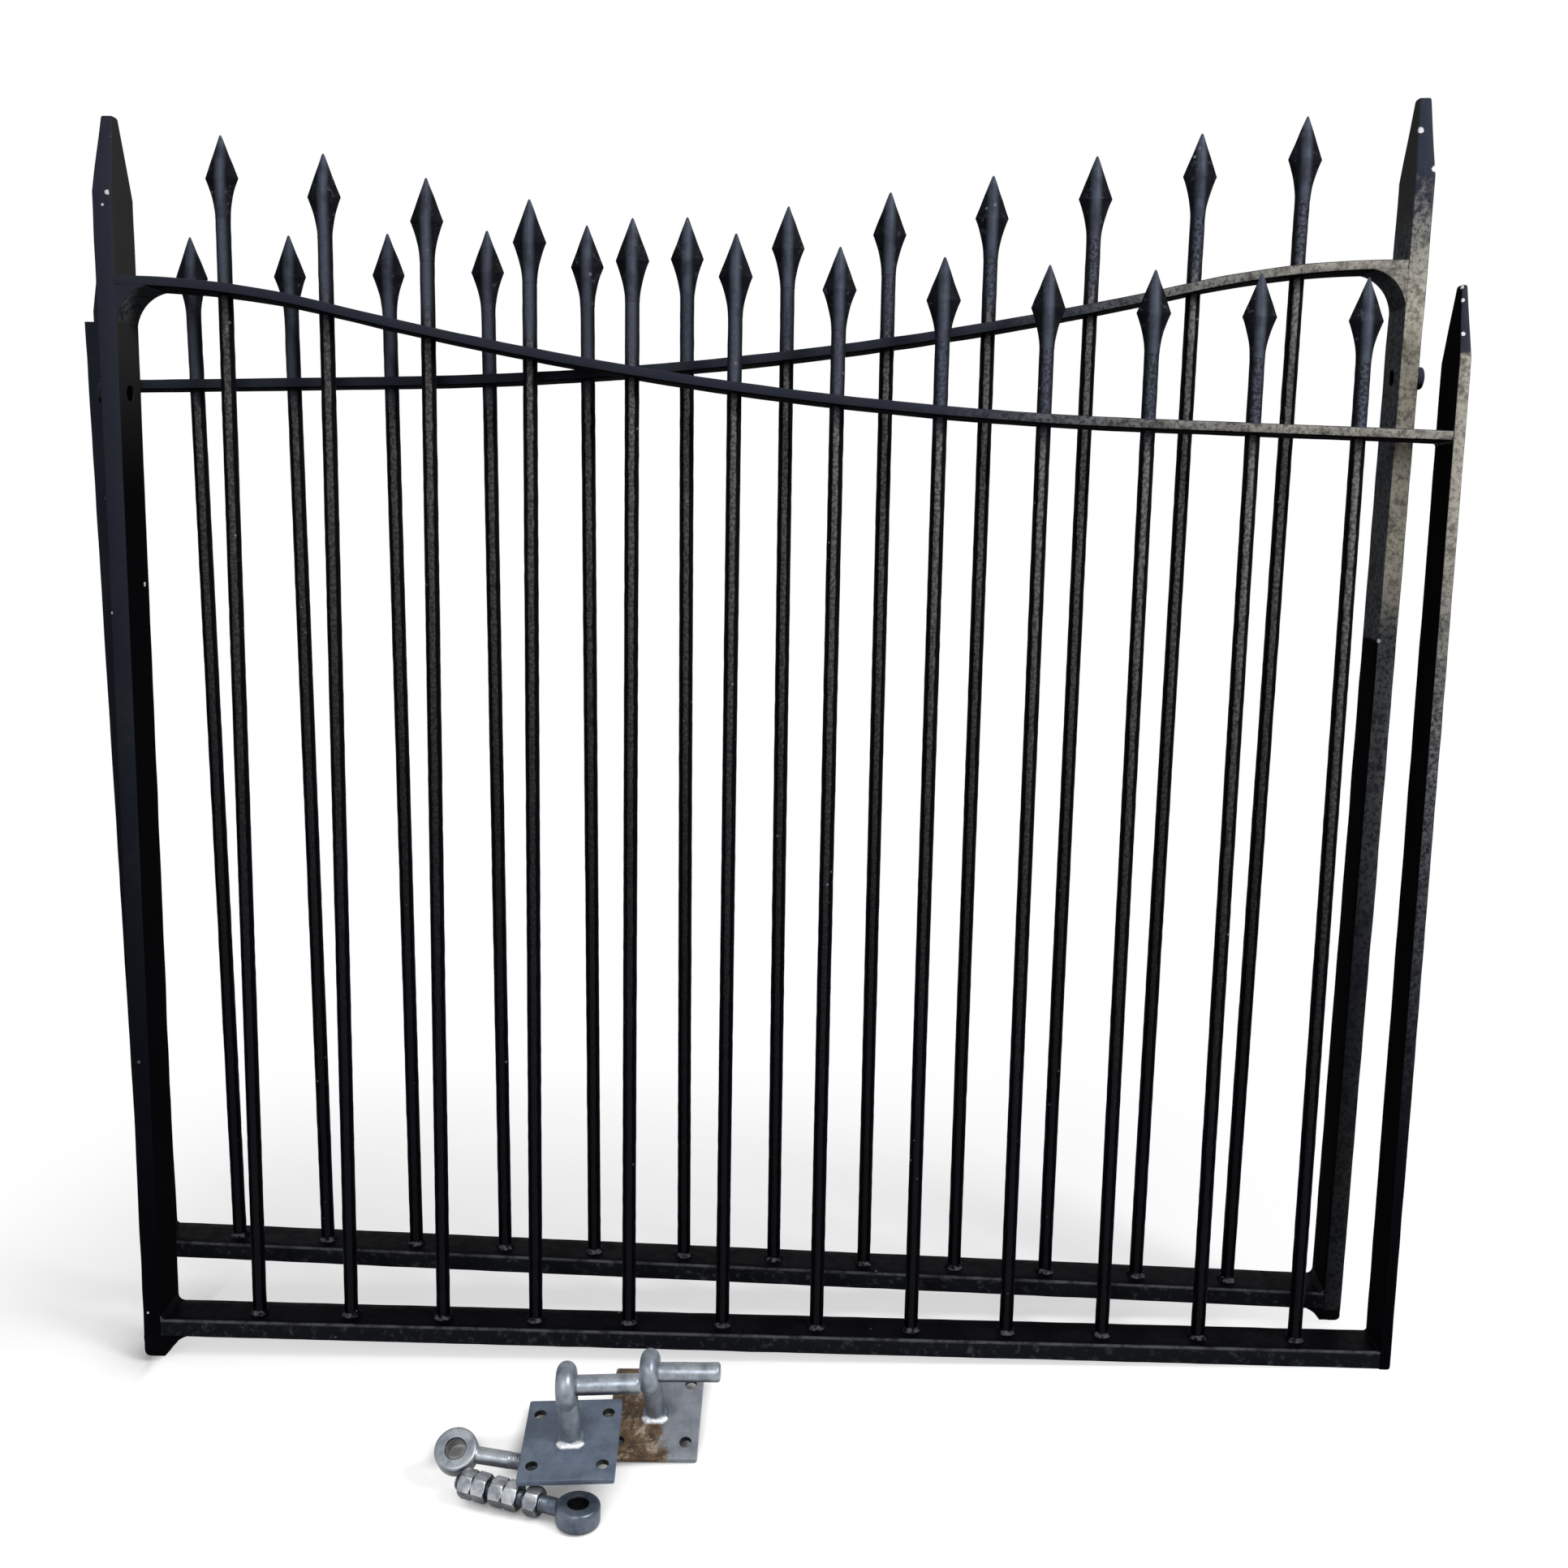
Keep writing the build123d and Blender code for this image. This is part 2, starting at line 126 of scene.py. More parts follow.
def turned(bm, profile, axis, centre, around=48, closed=False):
    """Turned shape from a profile of pairs: distance along the axis and radius."""
    rings = []
    for along, radius in profile:
        ring = []
        for a, b in ring_points(radius, around):
            point = {"X": (along, a, b), "Z": (a, b, along)}[axis]
            ring.append(tuple(c + p for c, p in zip(centre, point)))
        rings.append(ring)
    lay_skin(bm, rings, closed)


def dent(bm, depth, size, seed):
    """Push the skin in and out a little, as hammer, mill scale and thick paint leave it."""
    bm.normal_update()
    origin = Vector((seed * 7.3, seed * 3.1, seed * 5.7))
    moves = [noise.noise(vert.co / (size * MM) + origin) * depth * MM for vert in bm.verts]
    for vert, move in zip(bm.verts, moves):
        vert.co += vert.normal * move


def finish_mesh(bm, name):
    bmesh.ops.recalc_face_normals(bm, faces=bm.faces)
    mesh = bpy.data.meshes.new(name)
    bm.to_mesh(mesh)
    bm.free()
    return mesh


def put_in_scene(name, data):
    thing = bpy.data.objects.new(name, data)
    bpy.context.scene.collection.objects.link(thing)
    return thing


def formed_mesh(thing):
    """The mesh of a thing as its modifiers or its curve leave it."""
    bpy.context.view_layer.update()
    seen = thing.evaluated_get(bpy.context.evaluated_depsgraph_get())
    return bpy.data.meshes.new_from_object(seen)


def dress(piece, finish, crease=CREASE):
    piece.data.materials.clear()
    piece.data.materials.append(finish)
    piece.data.shade_smooth()
    piece.data.set_sharp_from_angle(angle=math.radians(crease))


def cut(piece, cutters, finish):
    """Cut closed skins out of a piece for good, and finish the piece again."""
    hole = put_in_scene("hole_cutter", finish_mesh(cutters, "hole_cutter"))
    hole.matrix_world = piece.matrix_world
    tool = piece.modifiers.new("hole", "BOOLEAN")
    tool.object = hole
    tool.operation = "DIFFERENCE"
    tool.solver = "EXACT"
    mesh = formed_mesh(piece)
    piece.modifiers.remove(tool)
    piece.data = mesh
    bpy.data.objects.remove(hole)
    dress(piece, finish)


def fit(name, mesh, place, finish, body, nodes, crease):
    """Put a finished mesh in its place on a body, in place of the plain solids it stands for."""
    piece = put_in_scene(name, mesh)
    piece.matrix_world = place
    dress(piece, finish, crease)
    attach(piece, body)
    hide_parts(*nodes)
    return piece


def hang(side, name, bm, finish, nodes, crease=CREASE):
    """Fit a piece in its place on one leaf; name and nodes are given without the leaf's side."""
    mesh = finish_mesh(bm, name)
    nodes = [f"{side}_{node}" for node in nodes]
    return fit(f"{side}_{name}", mesh, LEAF_PLACE[side], finish, f"{side}_leaf", nodes, crease)


def screen(red, green, blue):
    """Colour from the 0 to 255 steps of a screen, as the linear values that shaders take."""
    values = []
    for step in (red, green, blue):
        share = step / 255
        values.append(share / 12.92 if share <= 0.04045 else ((share + 0.055) / 1.055) ** 2.4)
    return (*values, 1.0)


class Finish:
    """A node material with short calls to add and join its nodes."""

    def __init__(self, name):
        self.material = bpy.data.materials.new(name)
        self.material.use_nodes = True
        self.tree = self.material.node_tree
        self.shader = self.tree.nodes["Principled BSDF"]
        self.place = self.make("ShaderNodeTexCoord", {}, "Object")
        self.facing = self.make("ShaderNodeTexCoord", {}, "Normal")

    def make(self, kind, inputs, output, **settings):
        """Add a node with its settings, join or set its inputs, and give one of its outputs."""
        made = self.tree.nodes.new(kind)
        for key, value in settings.items():
            setattr(made, key, value)
        for key, source in inputs.items():
            self.join(source, made.inputs[key])
        return made.outputs[output]

    def join(self, source, target):
        if isinstance(source, (int, float)):
            target.default_value = source
        elif isinstance(source, tuple):
            target.default_value = source if len(source) == len(target.default_value) else (*source, 1)
        else:
            self.tree.links.new(source, target)

    def noise(self, size, detail=4.0, rough=0.55):
        grain = {"Vector": self.place, "Scale": 1 / (size * MM), "Detail": detail, "Roughness": rough}
        return self.make("ShaderNodeTexNoise", grain, "Fac")

    def cells(self, size, output="Distance"):
        grain = {"Vector": self.place, "Scale": 1 / (size * MM)}
        return self.make("ShaderNodeTexVoronoi", grain, output)

    def span(self, value, low, high, to_low=0.0, to_high=1.0):
        limits = {"From Min": low, "From Max": high, "To Min": to_low, "To Max": to_high}
        inputs = {"Value": value, **limits}
        return self.make("ShaderNodeMapRange", inputs, "Result", interpolation_type="SMOOTHSTEP")

    def math(self, how, first, second=0.0):
        return self.make("ShaderNodeMath", {0: first, 1: second}, 0, operation=how)

    def vector_math(self, how, first, second):
        return self.make("ShaderNodeVectorMath", {0: first, 1: second}, "Value", operation=how)

    def mix(self, share, first, second):
        return self.make("ShaderNodeMix", {0: share, 6: first, 7: second}, 2, data_type="RGBA")

    def tint(self, shade, mask, tone, strength=1.0):
        """Lay a screen tone over a shade where a mask says, at a strength."""
        share = mask if strength == 1.0 else self.math("MULTIPLY", mask, strength)
        return self.mix(share, shade, screen(*tone))

    def split(self, vector):
        made = self.tree.nodes.new("ShaderNodeSeparateXYZ")
        self.join(vector, made.inputs[0])
        return made.outputs

    def largest(self, masks):
        joined = masks[0]
        for mask in masks[1:]:
            joined = self.math("MAXIMUM", joined, mask)
        return joined

    def product(self, *masks):
        joined = masks[0]
        for mask in masks[1:]:
            joined = self.math("MULTIPLY", joined, mask)
        return joined

    def wander(self, value, size, amount, *grain):
        """A value made ragged by noise of a size, so that an edge drawn from it looks torn."""
        return self.math("ADD", value, self.product(self.noise(size, *grain), amount))

    def specks(self, size, grain, spread, sparse):
        """Mask of small round specks that lie in loose groups."""
        loose = self.span(self.noise(spread, 2.0), *sparse)
        return self.product(self.span(self.cells(size), *grain), loose)

    def spot(self, x, y, z, radius):
        """Mask of one ragged spot round a point of the piece, in millimetres."""
        reach = self.vector_math("DISTANCE", self.place, (x * MM, y * MM, z * MM))
        edge = self.wander(reach, radius, 0.9 * radius * MM, 3.0)
        return self.span(edge, 1.4 * radius * MM, 1.15 * radius * MM)

    def bump(self, height, depth, strength):
        inputs = {"Strength": strength, "Distance": depth * MM, "Height": height}
        self.join(self.make("ShaderNodeBump", inputs, "Normal"), self.shader.inputs["Normal"])

    def done(self, colour, rough, metal=0.0, specular=PAINT_GLEAM):
        self.join(colour, self.shader.inputs["Base Color"])
        self.join(rough, self.shader.inputs["Roughness"])
        self.shader.inputs["Metallic"].default_value = metal
        self.shader.inputs["Specular IOR Level"].default_value = specular
        return self.material


def sheen_height(paint, spots):
    """How far up the leaf a point lies, for a painted blue sheen that lightens the paint upward from
    dead black near the ground.
    """
    return paint.span(spots[2], 0.02, 1.3)


def outer_face(paint, along):
    """Mask of the frame's flat outer faces inside their arrises, from a distance along the depth."""
    flat = paint.span(paint.math("ABSOLUTE", paint.split(paint.facing)[1]), 0.75, 0.95)
    face = FRAME_DEEP / 2
    return paint.product(flat, paint.span(along, (face - 4) * MM, (face - 1.5) * MM))


def lichen(paint, light):
    """Film of dust and lichen, from grey to beige by its lightness, flaked and pocked dark."""
    film = paint.mix(light, screen(88, 91, 95), screen(208, 200, 182))
    dark = paint.mix(light, screen(46, 48, 51), screen(84, 79, 71))
    flaky = paint.product(paint.span(paint.noise(15, 6.0, 0.75), 0.52, 0.38), 0.62)
    film = paint.mix(flaky, film, dark)
    bare = paint.span(light, 0.05, 0.5, 0.95, 0.5)
    pocked = paint.product(paint.span(paint.noise(5, 4.0, 0.7), 0.52, 0.4), bare)
    film = paint.mix(pocked, film, dark)
    crust = paint.product(paint.span(paint.noise(4, 5.0, 0.7), 0.56, 0.7), light)
    return paint.tint(film, crust, (204, 199, 187), 0.6)


def brush_pits(paint, fine, broad, share):
    """Height of the pits and brush lumps in old paint: a fine noise and a share of a broad one."""
    return paint.wander(paint.noise(*fine), broad, share, 2.0)


def black_paint(name, film=None, chips=(), side_tone=10):
    """Old brushed black gloss, pitted, with dust specks, lightened upward by a painted blue sheen from
    dead black near the ground, and painted near black as shade on its sides and beneath. A film
    gives the mask and the lightness of dust and lichen as a function of the finish; chips are the
    spots where the paint is knocked off; the side tone is the painted tone of the side faces above
    the top rail. The bore of the bolt hole is painted black as shade."""
    paint = Finish(name)
    spots, facing = paint.split(paint.place), paint.split(paint.facing)
    height = sheen_height(paint, spots)
    # Painted sheen: blue black above, fading to dead black near the ground.
    shade = paint.mix(height, screen(5, 5, 8), screen(44, 47, 58))
    warm = paint.product(paint.span(paint.noise(45, 3.0), 0.45, 0.7), height)
    shade = paint.tint(shade, warm, (50, 50, 52), 0.4)
    smear = paint.product(paint.span(paint.noise(6, 5.0, 0.7), 0.58, 0.74), height)
    shade = paint.tint(shade, smear, (78, 79, 84), 0.3)
    speck = paint.specks(18, (0.13, 0.06), 60, (0.58, 0.66))
    shade = paint.tint(shade, speck, (120, 123, 132), 0.5)
    # Painted shade: side faces are made near black, lifted to the side tone above the top rail.
    sideways = paint.span(paint.math("ABSOLUTE", facing[0]), 0.5, 0.9)
    above_rail = paint.span(spots[2], 0.92, 1.15)
    side_shade = paint.mix(above_rail, screen(7, 7, 9), screen(side_tone, side_tone, side_tone))
    shade = paint.mix(sideways, shade, side_shade)
    # Painted shade: faces that look down are made near black.
    beneath = paint.span(facing[2], -0.3, -0.7)
    shade = paint.tint(shade, beneath, (4, 4, 6))
    rough = paint.span(paint.noise(12), 0.3, 0.75, 0.34, 0.55)
    rough = paint.mix(paint.math("MAXIMUM", sideways, beneath), rough, (0.97, 0.97, 0.97))
    if film:
        mask, light = film(paint, spots)
        shade = paint.mix(mask, shade, lichen(paint, light))
        rough = paint.mix(mask, rough, (0.85, 0.85, 0.85))
    if chips:
        bare = paint.largest([paint.spot(*chip) for chip in chips])
        shade = paint.tint(shade, bare, (208, 208, 211))
    # Painted shade: the bore of the hinge bolt's hole is made black.
    depth, radius = STILE_WIDE / 2, BOLT_HOLE / 2
    bolt_hole_shade = paint.product(
        paint.span(paint.math("ABSOLUTE", spots[0]), (depth - 1.5) * MM, (depth - 2) * MM),
        paint.span(paint.math("ABSOLUTE", spots[1]), (radius + 3.5) * MM, (radius + 1.5) * MM),
        paint.span(spots[2], 1.12, 1.1),
    )
    shade = paint.tint(shade, bolt_hole_shade, (3, 3, 4))
    paint.bump(brush_pits(paint, (2.2, 3.0, 0.6), 9, 1.5), 0.4, 0.5)
    return paint.done(shade, rough)


def rear_face_film(paint, spots):
    """Film on the rear stile: beige on its photographed face, torn at the tip and thin and grey
    in the lower half, and grey on its inner side above hand height."""
    front = outer_face(paint, spots[1])
    ragged = paint.wander(spots[2], 14, 0.03, 3.0)
    upper = paint.span(paint.wander(spots[2], 9, 0.22, 5.0, 0.7), 1.345, 1.29)
    face = paint.product(front, upper, paint.span(ragged, 0.36, 0.76, 0.15, 0.97))
    half = STILE_WIDE / 2
    inner = paint.span(spots[0], (half - 1.2) * MM, (half - 0.3) * MM)
    at_hand = paint.span(spots[2], 0.762, 0.766)
    side = paint.product(inner, at_hand, paint.span(ragged, 1.25, 1.15), 0.9)
    below_tip = paint.span(ragged, 1.24, 1.02, 0.12, 1.0)
    light = paint.product(front, below_tip, paint.span(ragged, 0.775, 0.86, 0.03, 1.0))
    return paint.math("MAXIMUM", face, side), light


def stile_rings(wide, tall, tip, arris):
    """Rings up a flat bar as deep as the frame that tapers to a tip: wide, deep and long."""
    tip_wide, tip_deep, tip_long = tip
    shoulder = tall - tip_long
    rings = []
    for z in steps(0, shoulder, 9) + steps(shoulder, tall - 1.5, 7)[1:] + [tall]:
        share = max(0.0, (z - shoulder) / tip_long)
        pinch = 1.2 if z == tall else 0.0
        now_wide = wide + (tip_wide - wide) * share - pinch
        now_deep = FRAME_DEEP + (tip_deep - FRAME_DEEP) * share - pinch
        section = flat_bar_section(now_wide, now_deep, min(arris, now_wide / 3))
        rings.append([(across, along, z) for across, along in section])
    return rings


FRONT_STILE_CHIPS = (
    (6, -13, 1286, 2),
    (6, -25, 1229, 3),
    (1, -25, 1217, 1.6),
    (10, 14, 837, 3),
    (-9, -25, 808, 1.6),
    (-4, -25, 28, 1.6),
)
REAR_STILE_CHIPS = ((5, 15, 1275, 4), (-9, 23, 1236, 3.8), (9, 25, 763, 2.6))
paint_plain = black_paint("black_gloss_paint")
paint_stile = {
    "front": black_paint("black_paint_chipped", None, FRONT_STILE_CHIPS, 48),
    "rear": black_paint("black_paint_with_lichen", rear_face_film, REAR_STILE_CHIPS, 60),
}
for seed, side in enumerate(LEAF_PLACE, 1):
    bm = bmesh.new()
    lay_skin(bm, stile_rings(STILE_WIDE, STILE_TALL, STILE_TIP, STILE_ARRIS))
    dent(bm, *STILE_DENTS, seed)
    piece = hang(side, "hanging_upright", bm, paint_stile[side], ["hanging_stile"])
    drill = bmesh.new()
    through = [(end * STILE_WIDE, BOLT_HOLE / 2) for end in (-1.5, 1.5)]
    turned(drill, through, "X", (0, 0, LUG_HEIGHT), 32)
    cut(piece, drill, paint_stile[side])

# Heels: the forged feet under the hanging stiles, which the leaves turn on.
# A block as deep as the frame, hollowed towards the rail, on a short round pin with a domed
# end; welded under the stile and the start of the bottom rail and painted with the leaf.
HEEL_FLARE = {"front": 28.0, "rear": 18.0}
HEEL_TOE = 3.0
HEEL_HOLLOW = 40.0
HEEL_CORNER = 6.0
HEEL_PIN = (16.0, 8.0)
HEEL_EASE = 1.4
HEEL_DRAW = 0.07
HEEL_DENTS = (0.5, 9)


def hollow_bend(start, end, radius, count=14):
    """Points from one corner to another on an arc that hollows in from the right."""
    run, rise = end[0] - start[0], end[1] - start[1]
    chord = math.hypot(run, rise)
    stand = math.sqrt(radius**2 - chord**2 / 4) / chord
    hub_x = (start[0] + end[0]) / 2 + rise * stand
    hub_z = (start[1] + end[1]) / 2 - run * stand
    first = math.atan2(start[1] - hub_z, start[0] - hub_x)
    last = math.atan2(end[1] - hub_z, end[0] - hub_x)
    angles = [first + (last - first) * index / count for index in range(count + 1)]
    return [(hub_x + radius * math.cos(angle), hub_z + radius * math.sin(angle)) for angle in angles]


def heel_outline(drop, flare):
    face, foot, seat = STILE_WIDE / 2, HEEL_PIN[1] - drop, 0.4
    hub_x, hub_z = HEEL_CORNER - face, foot + HEEL_CORNER
    points = [(-face, z) for z in steps(seat, hub_z, 3)]
    for angle in steps(0, math.pi / 2, 0.2)[1:]:
        points.append((hub_x - HEEL_CORNER * math.cos(angle), hub_z - HEEL_CORNER * math.sin(angle)))
    points += [(x, foot) for x in steps(hub_x, face + HEEL_TOE, 3)[1:]]
    return points + hollow_bend((face + HEEL_TOE, foot), (face + flare, seat), HEEL_HOLLOW)[1:]


def heel_rings(drop, flare):
    """The block's outline repeated from front to back, drawn in a little at both faces."""
    outline = heel_outline(drop, flare)
    reach = FRAME_DEEP / 2
    edge = [reach - HEEL_EASE, reach - 0.4, reach]
    rings = []
    for y in [-level for level in reversed(edge)] + steps(4 - reach, reach - 4, 4) + edge:
        draw = 1 - HEEL_DRAW * (max(0.0, abs(y) - reach + HEEL_EASE) / HEEL_EASE) ** 2
        rings.append([(draw * x, y, draw * z if z < 0 else z) for x, z in outline])
    return rings


def heel_pin_profile(drop):
    radius = HEEL_PIN[0] / 2
    profile = [(HEEL_PIN[1] - drop + 1, radius)]
    for angle in steps(math.asin(radius / HEEL_DOME), 0.03, 0.06):
        profile.append((HEEL_DOME * (1 - math.cos(angle)) - drop, HEEL_DOME * math.sin(angle)))
    return profile


for seed, side in enumerate(LEAF_PLACE, 3):
    bm = bmesh.new()
    lay_skin(bm, heel_rings(HEEL_DROP[side], HEEL_FLARE[side]))
    dent(bm, *HEEL_DENTS, seed)
    turned(bm, heel_pin_profile(HEEL_DROP[side]), "Z", (0, 0, 0), 32)
    hang(side, "heel_forging", bm, paint_plain, ["heel"], 60)

# Meeting stiles: the thinner flat bars where the two leaves close on each other.
# The same rolled bar, drawn to a slim tip above the rail and rounded at the outer foot;
# the front one is speckled with dust on its face over its upper half.
MEET_WIDE = 12.0
MEET_TALL = 1136.0
MEET_TIP = (6.0, 13.0, 72.0)
MEET_FOOT = 4.0
MEET_ARRIS = 1.6
MEET_DENTS = (0.35, 34)
RAIL_RISE = 20.0


def meeting_film(paint, spots):
    """Film on the front meeting stile's face: solid under the tip, broken to speckles lower down."""
    front = outer_face(paint, paint.product(spots[1], -1))
    ragged = paint.wander(spots[2], 18, 0.05)
    upper = paint.span(ragged, 1.118, 1.105)
    whole = paint.span(ragged, 0.62, 0.95, 0.0, 0.95)
    speckles = paint.span(paint.noise(4, 5.0, 0.7), 0.36, 0.54)
    broken = paint.product(speckles, paint.span(ragged, 0.25, 0.8), 0.9)
    light = paint.span(ragged, 0.62, 1.02, 0.02, 0.5)
    return paint.product(front, upper, paint.math("MAXIMUM", whole, broken)), light


MEETING_CHIPS = ((1357, -6, 1154, 2.6), (1358, -11, 1141, 2.4), (1358, -20, 1108, 2.6))
paint_meeting = {
    "front": black_paint("black_paint_speckled", meeting_film, MEETING_CHIPS),
    "rear": black_paint("black_paint_chipped_tip", None, MEETING_CHIPS[:1]),
}
for seed, side in enumerate(LEAF_PLACE, 5):
    rings = stile_rings(MEET_WIDE, MEET_TALL, MEET_TIP, MEET_ARRIS)
    foot = [[(x, y, z) for x, y, _ in rings[0]] for z in steps(0, MEET_FOOT, 0.8)]
    formed = []
    for ring in foot + rings[1:]:
        drop = max(0.0, MEET_FOOT - ring[0][2])
        limit = MEET_WIDE / 2 - MEET_FOOT + math.sqrt(MEET_FOOT**2 - drop**2)
        formed.append([(LEAF_WIDE + min(x, limit), y, RAIL_RISE + z) for x, y, z in ring])
    bm = bmesh.new()
    lay_skin(bm, formed)
    dent(bm, *MEET_DENTS, seed)
    hang(side, "closing_upright", bm, paint_meeting[side], ["meeting_stile"])

# Closing strip: a flat bar along the outer face of the rear leaf's meeting stile.
# Rolled steel, welded on from near the foot to just under the tip so that the shut pair leaves
# no gap, and painted with the leaf.
STRIP_THICK = 12.0
STRIP_DEEP = 40.0
STRIP_START = 40.0
STRIP_DROP = 10.0
STRIP_ARRIS = 1.0
STRIP_DENTS = (0.3, 30)

strip_low = RAIL_RISE + STRIP_START
strip_high = RAIL_RISE + MEET_TALL - MEET_TIP[2] - STRIP_DROP
strip_middle = LEAF_WIDE + MEET_WIDE / 2 + STRIP_THICK / 2
section = flat_bar_section(STRIP_THICK, STRIP_DEEP, STRIP_ARRIS)
rings = []
for z in steps(strip_low, strip_high, 12):
    rings.append([(strip_middle + across, along, z) for across, along in section])
bm = bmesh.new()
lay_skin(bm, rings)
dent(bm, *STRIP_DENTS, 17)
hang("rear", "closing_strip", bm, paint_plain, ["closing_bar"])

# Bottom rails: flat bars on which the round bars stand, rising a little to the meeting stile.
# Rolled steel cut square and welded between the stiles; the upper front arris is worn and carries
# a painted highlight along its whole length, the outer faces are painted lighter as lit faces, and
# the faces are streaked with splashed dirt.
RAIL_THICK = 20.0
RAIL_SLOPE = RAIL_RISE / LEAF_WIDE
RAIL_ARRIS = 2.2
RAIL_DENTS = (0.35, 30)
RAIL_ENDS = (STILE_WIDE / 2, LEAF_WIDE - MEET_WIDE / 2)


def rail_paint():
    paint = Finish("black_paint_worn_and_highlit_arris")
    spots = paint.split(paint.place)
    rise = paint.math("SUBTRACT", spots[2], paint.product(spots[0], RAIL_SLOPE))
    forward = paint.math("ABSOLUTE", spots[1])
    # Worn paint and a painted highlight along the upper front arris.
    near_top = paint.span(rise, (RAIL_THICK - 3.5) * MM, (RAIL_THICK - 1.2) * MM)
    near_front = paint.span(forward, (FRAME_DEEP / 2 - 3) * MM, (FRAME_DEEP / 2 - 1) * MM)
    broken = paint.span(paint.noise(20, 5.0, 0.7), 0.34, 0.6, 0.25, 1.0)
    arris_wear_and_highlight = paint.product(near_top, near_front, broken)
    face = outer_face(paint, forward)
    splash = paint.product(face, paint.span(paint.noise(9, 5.0, 0.7), 0.52, 0.7))
    cloud = paint.span(paint.noise(50, 3.0), 0.35, 0.7)
    shade = paint.mix(cloud, screen(4, 4, 7), screen(9, 9, 13))
    # Painted light: the outer faces are lighter than the top and the underside.
    shade = paint.tint(shade, face, (21, 22, 26))
    shade = paint.tint(shade, splash, (58, 60, 64), 0.8)
    shade = paint.tint(shade, arris_wear_and_highlight, (78, 80, 84), 0.85)
    speck = paint.specks(22, (0.1, 0.05), 60, (0.6, 0.68))
    shade = paint.tint(shade, speck, (110, 112, 116), 0.5)
    paint.bump(brush_pits(paint, (2.4, 3.0, 0.6), 9, 1.5), 0.4, 0.5)
    return paint.done(shade, paint.span(paint.noise(14), 0.3, 0.75, 0.34, 0.56))


paint_rail = rail_paint()
for seed, side in enumerate(LEAF_PLACE, 7):
    section = flat_bar_section(RAIL_THICK, FRAME_DEEP, RAIL_ARRIS)
    rings = []
    for x in steps(*RAIL_ENDS, 10):
        middle = RAIL_THICK / 2 + RAIL_SLOPE * x
        rings.append([(x, along, middle + across) for across, along in section])
    bm = bmesh.new()
    lay_skin(bm, rings)
    dent(bm, *RAIL_DENTS, seed)
    hang(side, "foot_rail", bm, paint_rail, ["bottom_rail"])

# Top rails: flat bars bent to an easy S, high at the hanging stile and running out nearly level.
# Bent hot and punched with twelve round holes that the bars pass through; dust has settled
# on the end towards the rear hanging stile and on the front rail's low end.
RAIL_DEPTH = 10.0
RAIL_HEIGHT = 1144.0
SHOULDER_BEND = 960.0
SWEEP_BEND = 4220.0
FALL = math.radians(12.8)
RUN_OUT = math.radians(1.4)
TOP_ARRIS = 1.7
TOP_DENTS = (0.35, 32)
BAR_THICK = 15.0
BAR_EASE = 0.2
FIRST_BAR = 114.0
BAR_PITCH = 105.0
BAR_AT = [FIRST_BAR + BAR_PITCH * index for index in range(12)]


def rail_line(x):
    """Height and slope angle of the top rail's middle line at a distance along the leaf."""
    along = x - STILE_WIDE / 2
    sweep_start = SHOULDER_BEND * math.sin(FALL)
    sweep_end = sweep_start + SWEEP_BEND * (math.sin(FALL) - math.sin(RUN_OUT))
    sweep_height = RAIL_HEIGHT - SHOULDER_BEND * (1 - math.cos(FALL))
    if along < sweep_start:
        angle = math.asin(along / SHOULDER_BEND)
        return RAIL_HEIGHT - SHOULDER_BEND * (1 - math.cos(angle)), angle
    if along < sweep_end:
        angle = math.asin(math.sin(FALL) - (along - sweep_start) / SWEEP_BEND)
        return sweep_height - SWEEP_BEND * (math.cos(angle) - math.cos(FALL)), angle
    run_height = sweep_height - SWEEP_BEND * (math.cos(RUN_OUT) - math.cos(FALL))
    return run_height - (along - sweep_end) * math.tan(RUN_OUT), RUN_OUT


def rail_film(outward, torn, reach, tone):
    """Broken film on a top rail's outer face, thickening along the rail over a reach."""

    def film(paint, spots):
        front = outer_face(paint, paint.product(spots[1], outward))
        ragged = paint.wander(spots[0], 40, torn)
        broken = paint.span(paint.noise(7, 5.0, 0.7), 0.28, 0.54, 0.3, 0.92)
        return paint.product(front, paint.span(ragged, *reach), broken), paint.span(ragged, *tone)

    return film


rail_films = {
    "front": rail_film(-1, 0.15, (0.86, 1.16), (0.9, 1.35, 0.0, 0.38)),
    "rear": rail_film(1, 0.12, (0.52, 0.3), (0.42, 0.12, 0.0, 0.42)),
}
for seed, side in enumerate(LEAF_PLACE, 9):
    section = flat_bar_section(RAIL_DEPTH, FRAME_DEEP, TOP_ARRIS)
    rings = []
    for x in steps(*RAIL_ENDS, 9):
        height, angle = rail_line(x)
        lean = 0.0 if x in RAIL_ENDS else math.sin(angle)
        rise = math.cos(angle)
        rings.append([(x + lean * across, along, height + rise * across) for across, along in section])
    bm = bmesh.new()
    lay_skin(bm, rings)
    dent(bm, *TOP_DENTS, seed)
    finish = black_paint(f"black_paint_{side}_rail", rail_films[side])
    piece = hang(side, "swept_rail", bm, finish, ["top_rail"])
    punch = bmesh.new()
    through = [(end, BAR_THICK / 2 + BAR_EASE) for end in (-20, 20)]
    for x in BAR_AT:
        turned(punch, through, "Z", (x, 0, rail_line(x)[0]), 24)
    cut(piece, punch, finish)

# Corner gussets: small hollow brackets under the top rail against the hanging stile.
# Cut from the same bar as the rail and welded into the corner, their edges ground soft.
GUSSET_BEND = 42.0
GUSSET_REACH = FRAME_DEEP / 2 - 0.2
GUSSET_EDGE = (
    (8.0, 0.0),
    (GUSSET_REACH - 1.4, 0.0),
    (GUSSET_REACH - 0.4, 0.5),
    (GUSSET_REACH, 1.4),
)


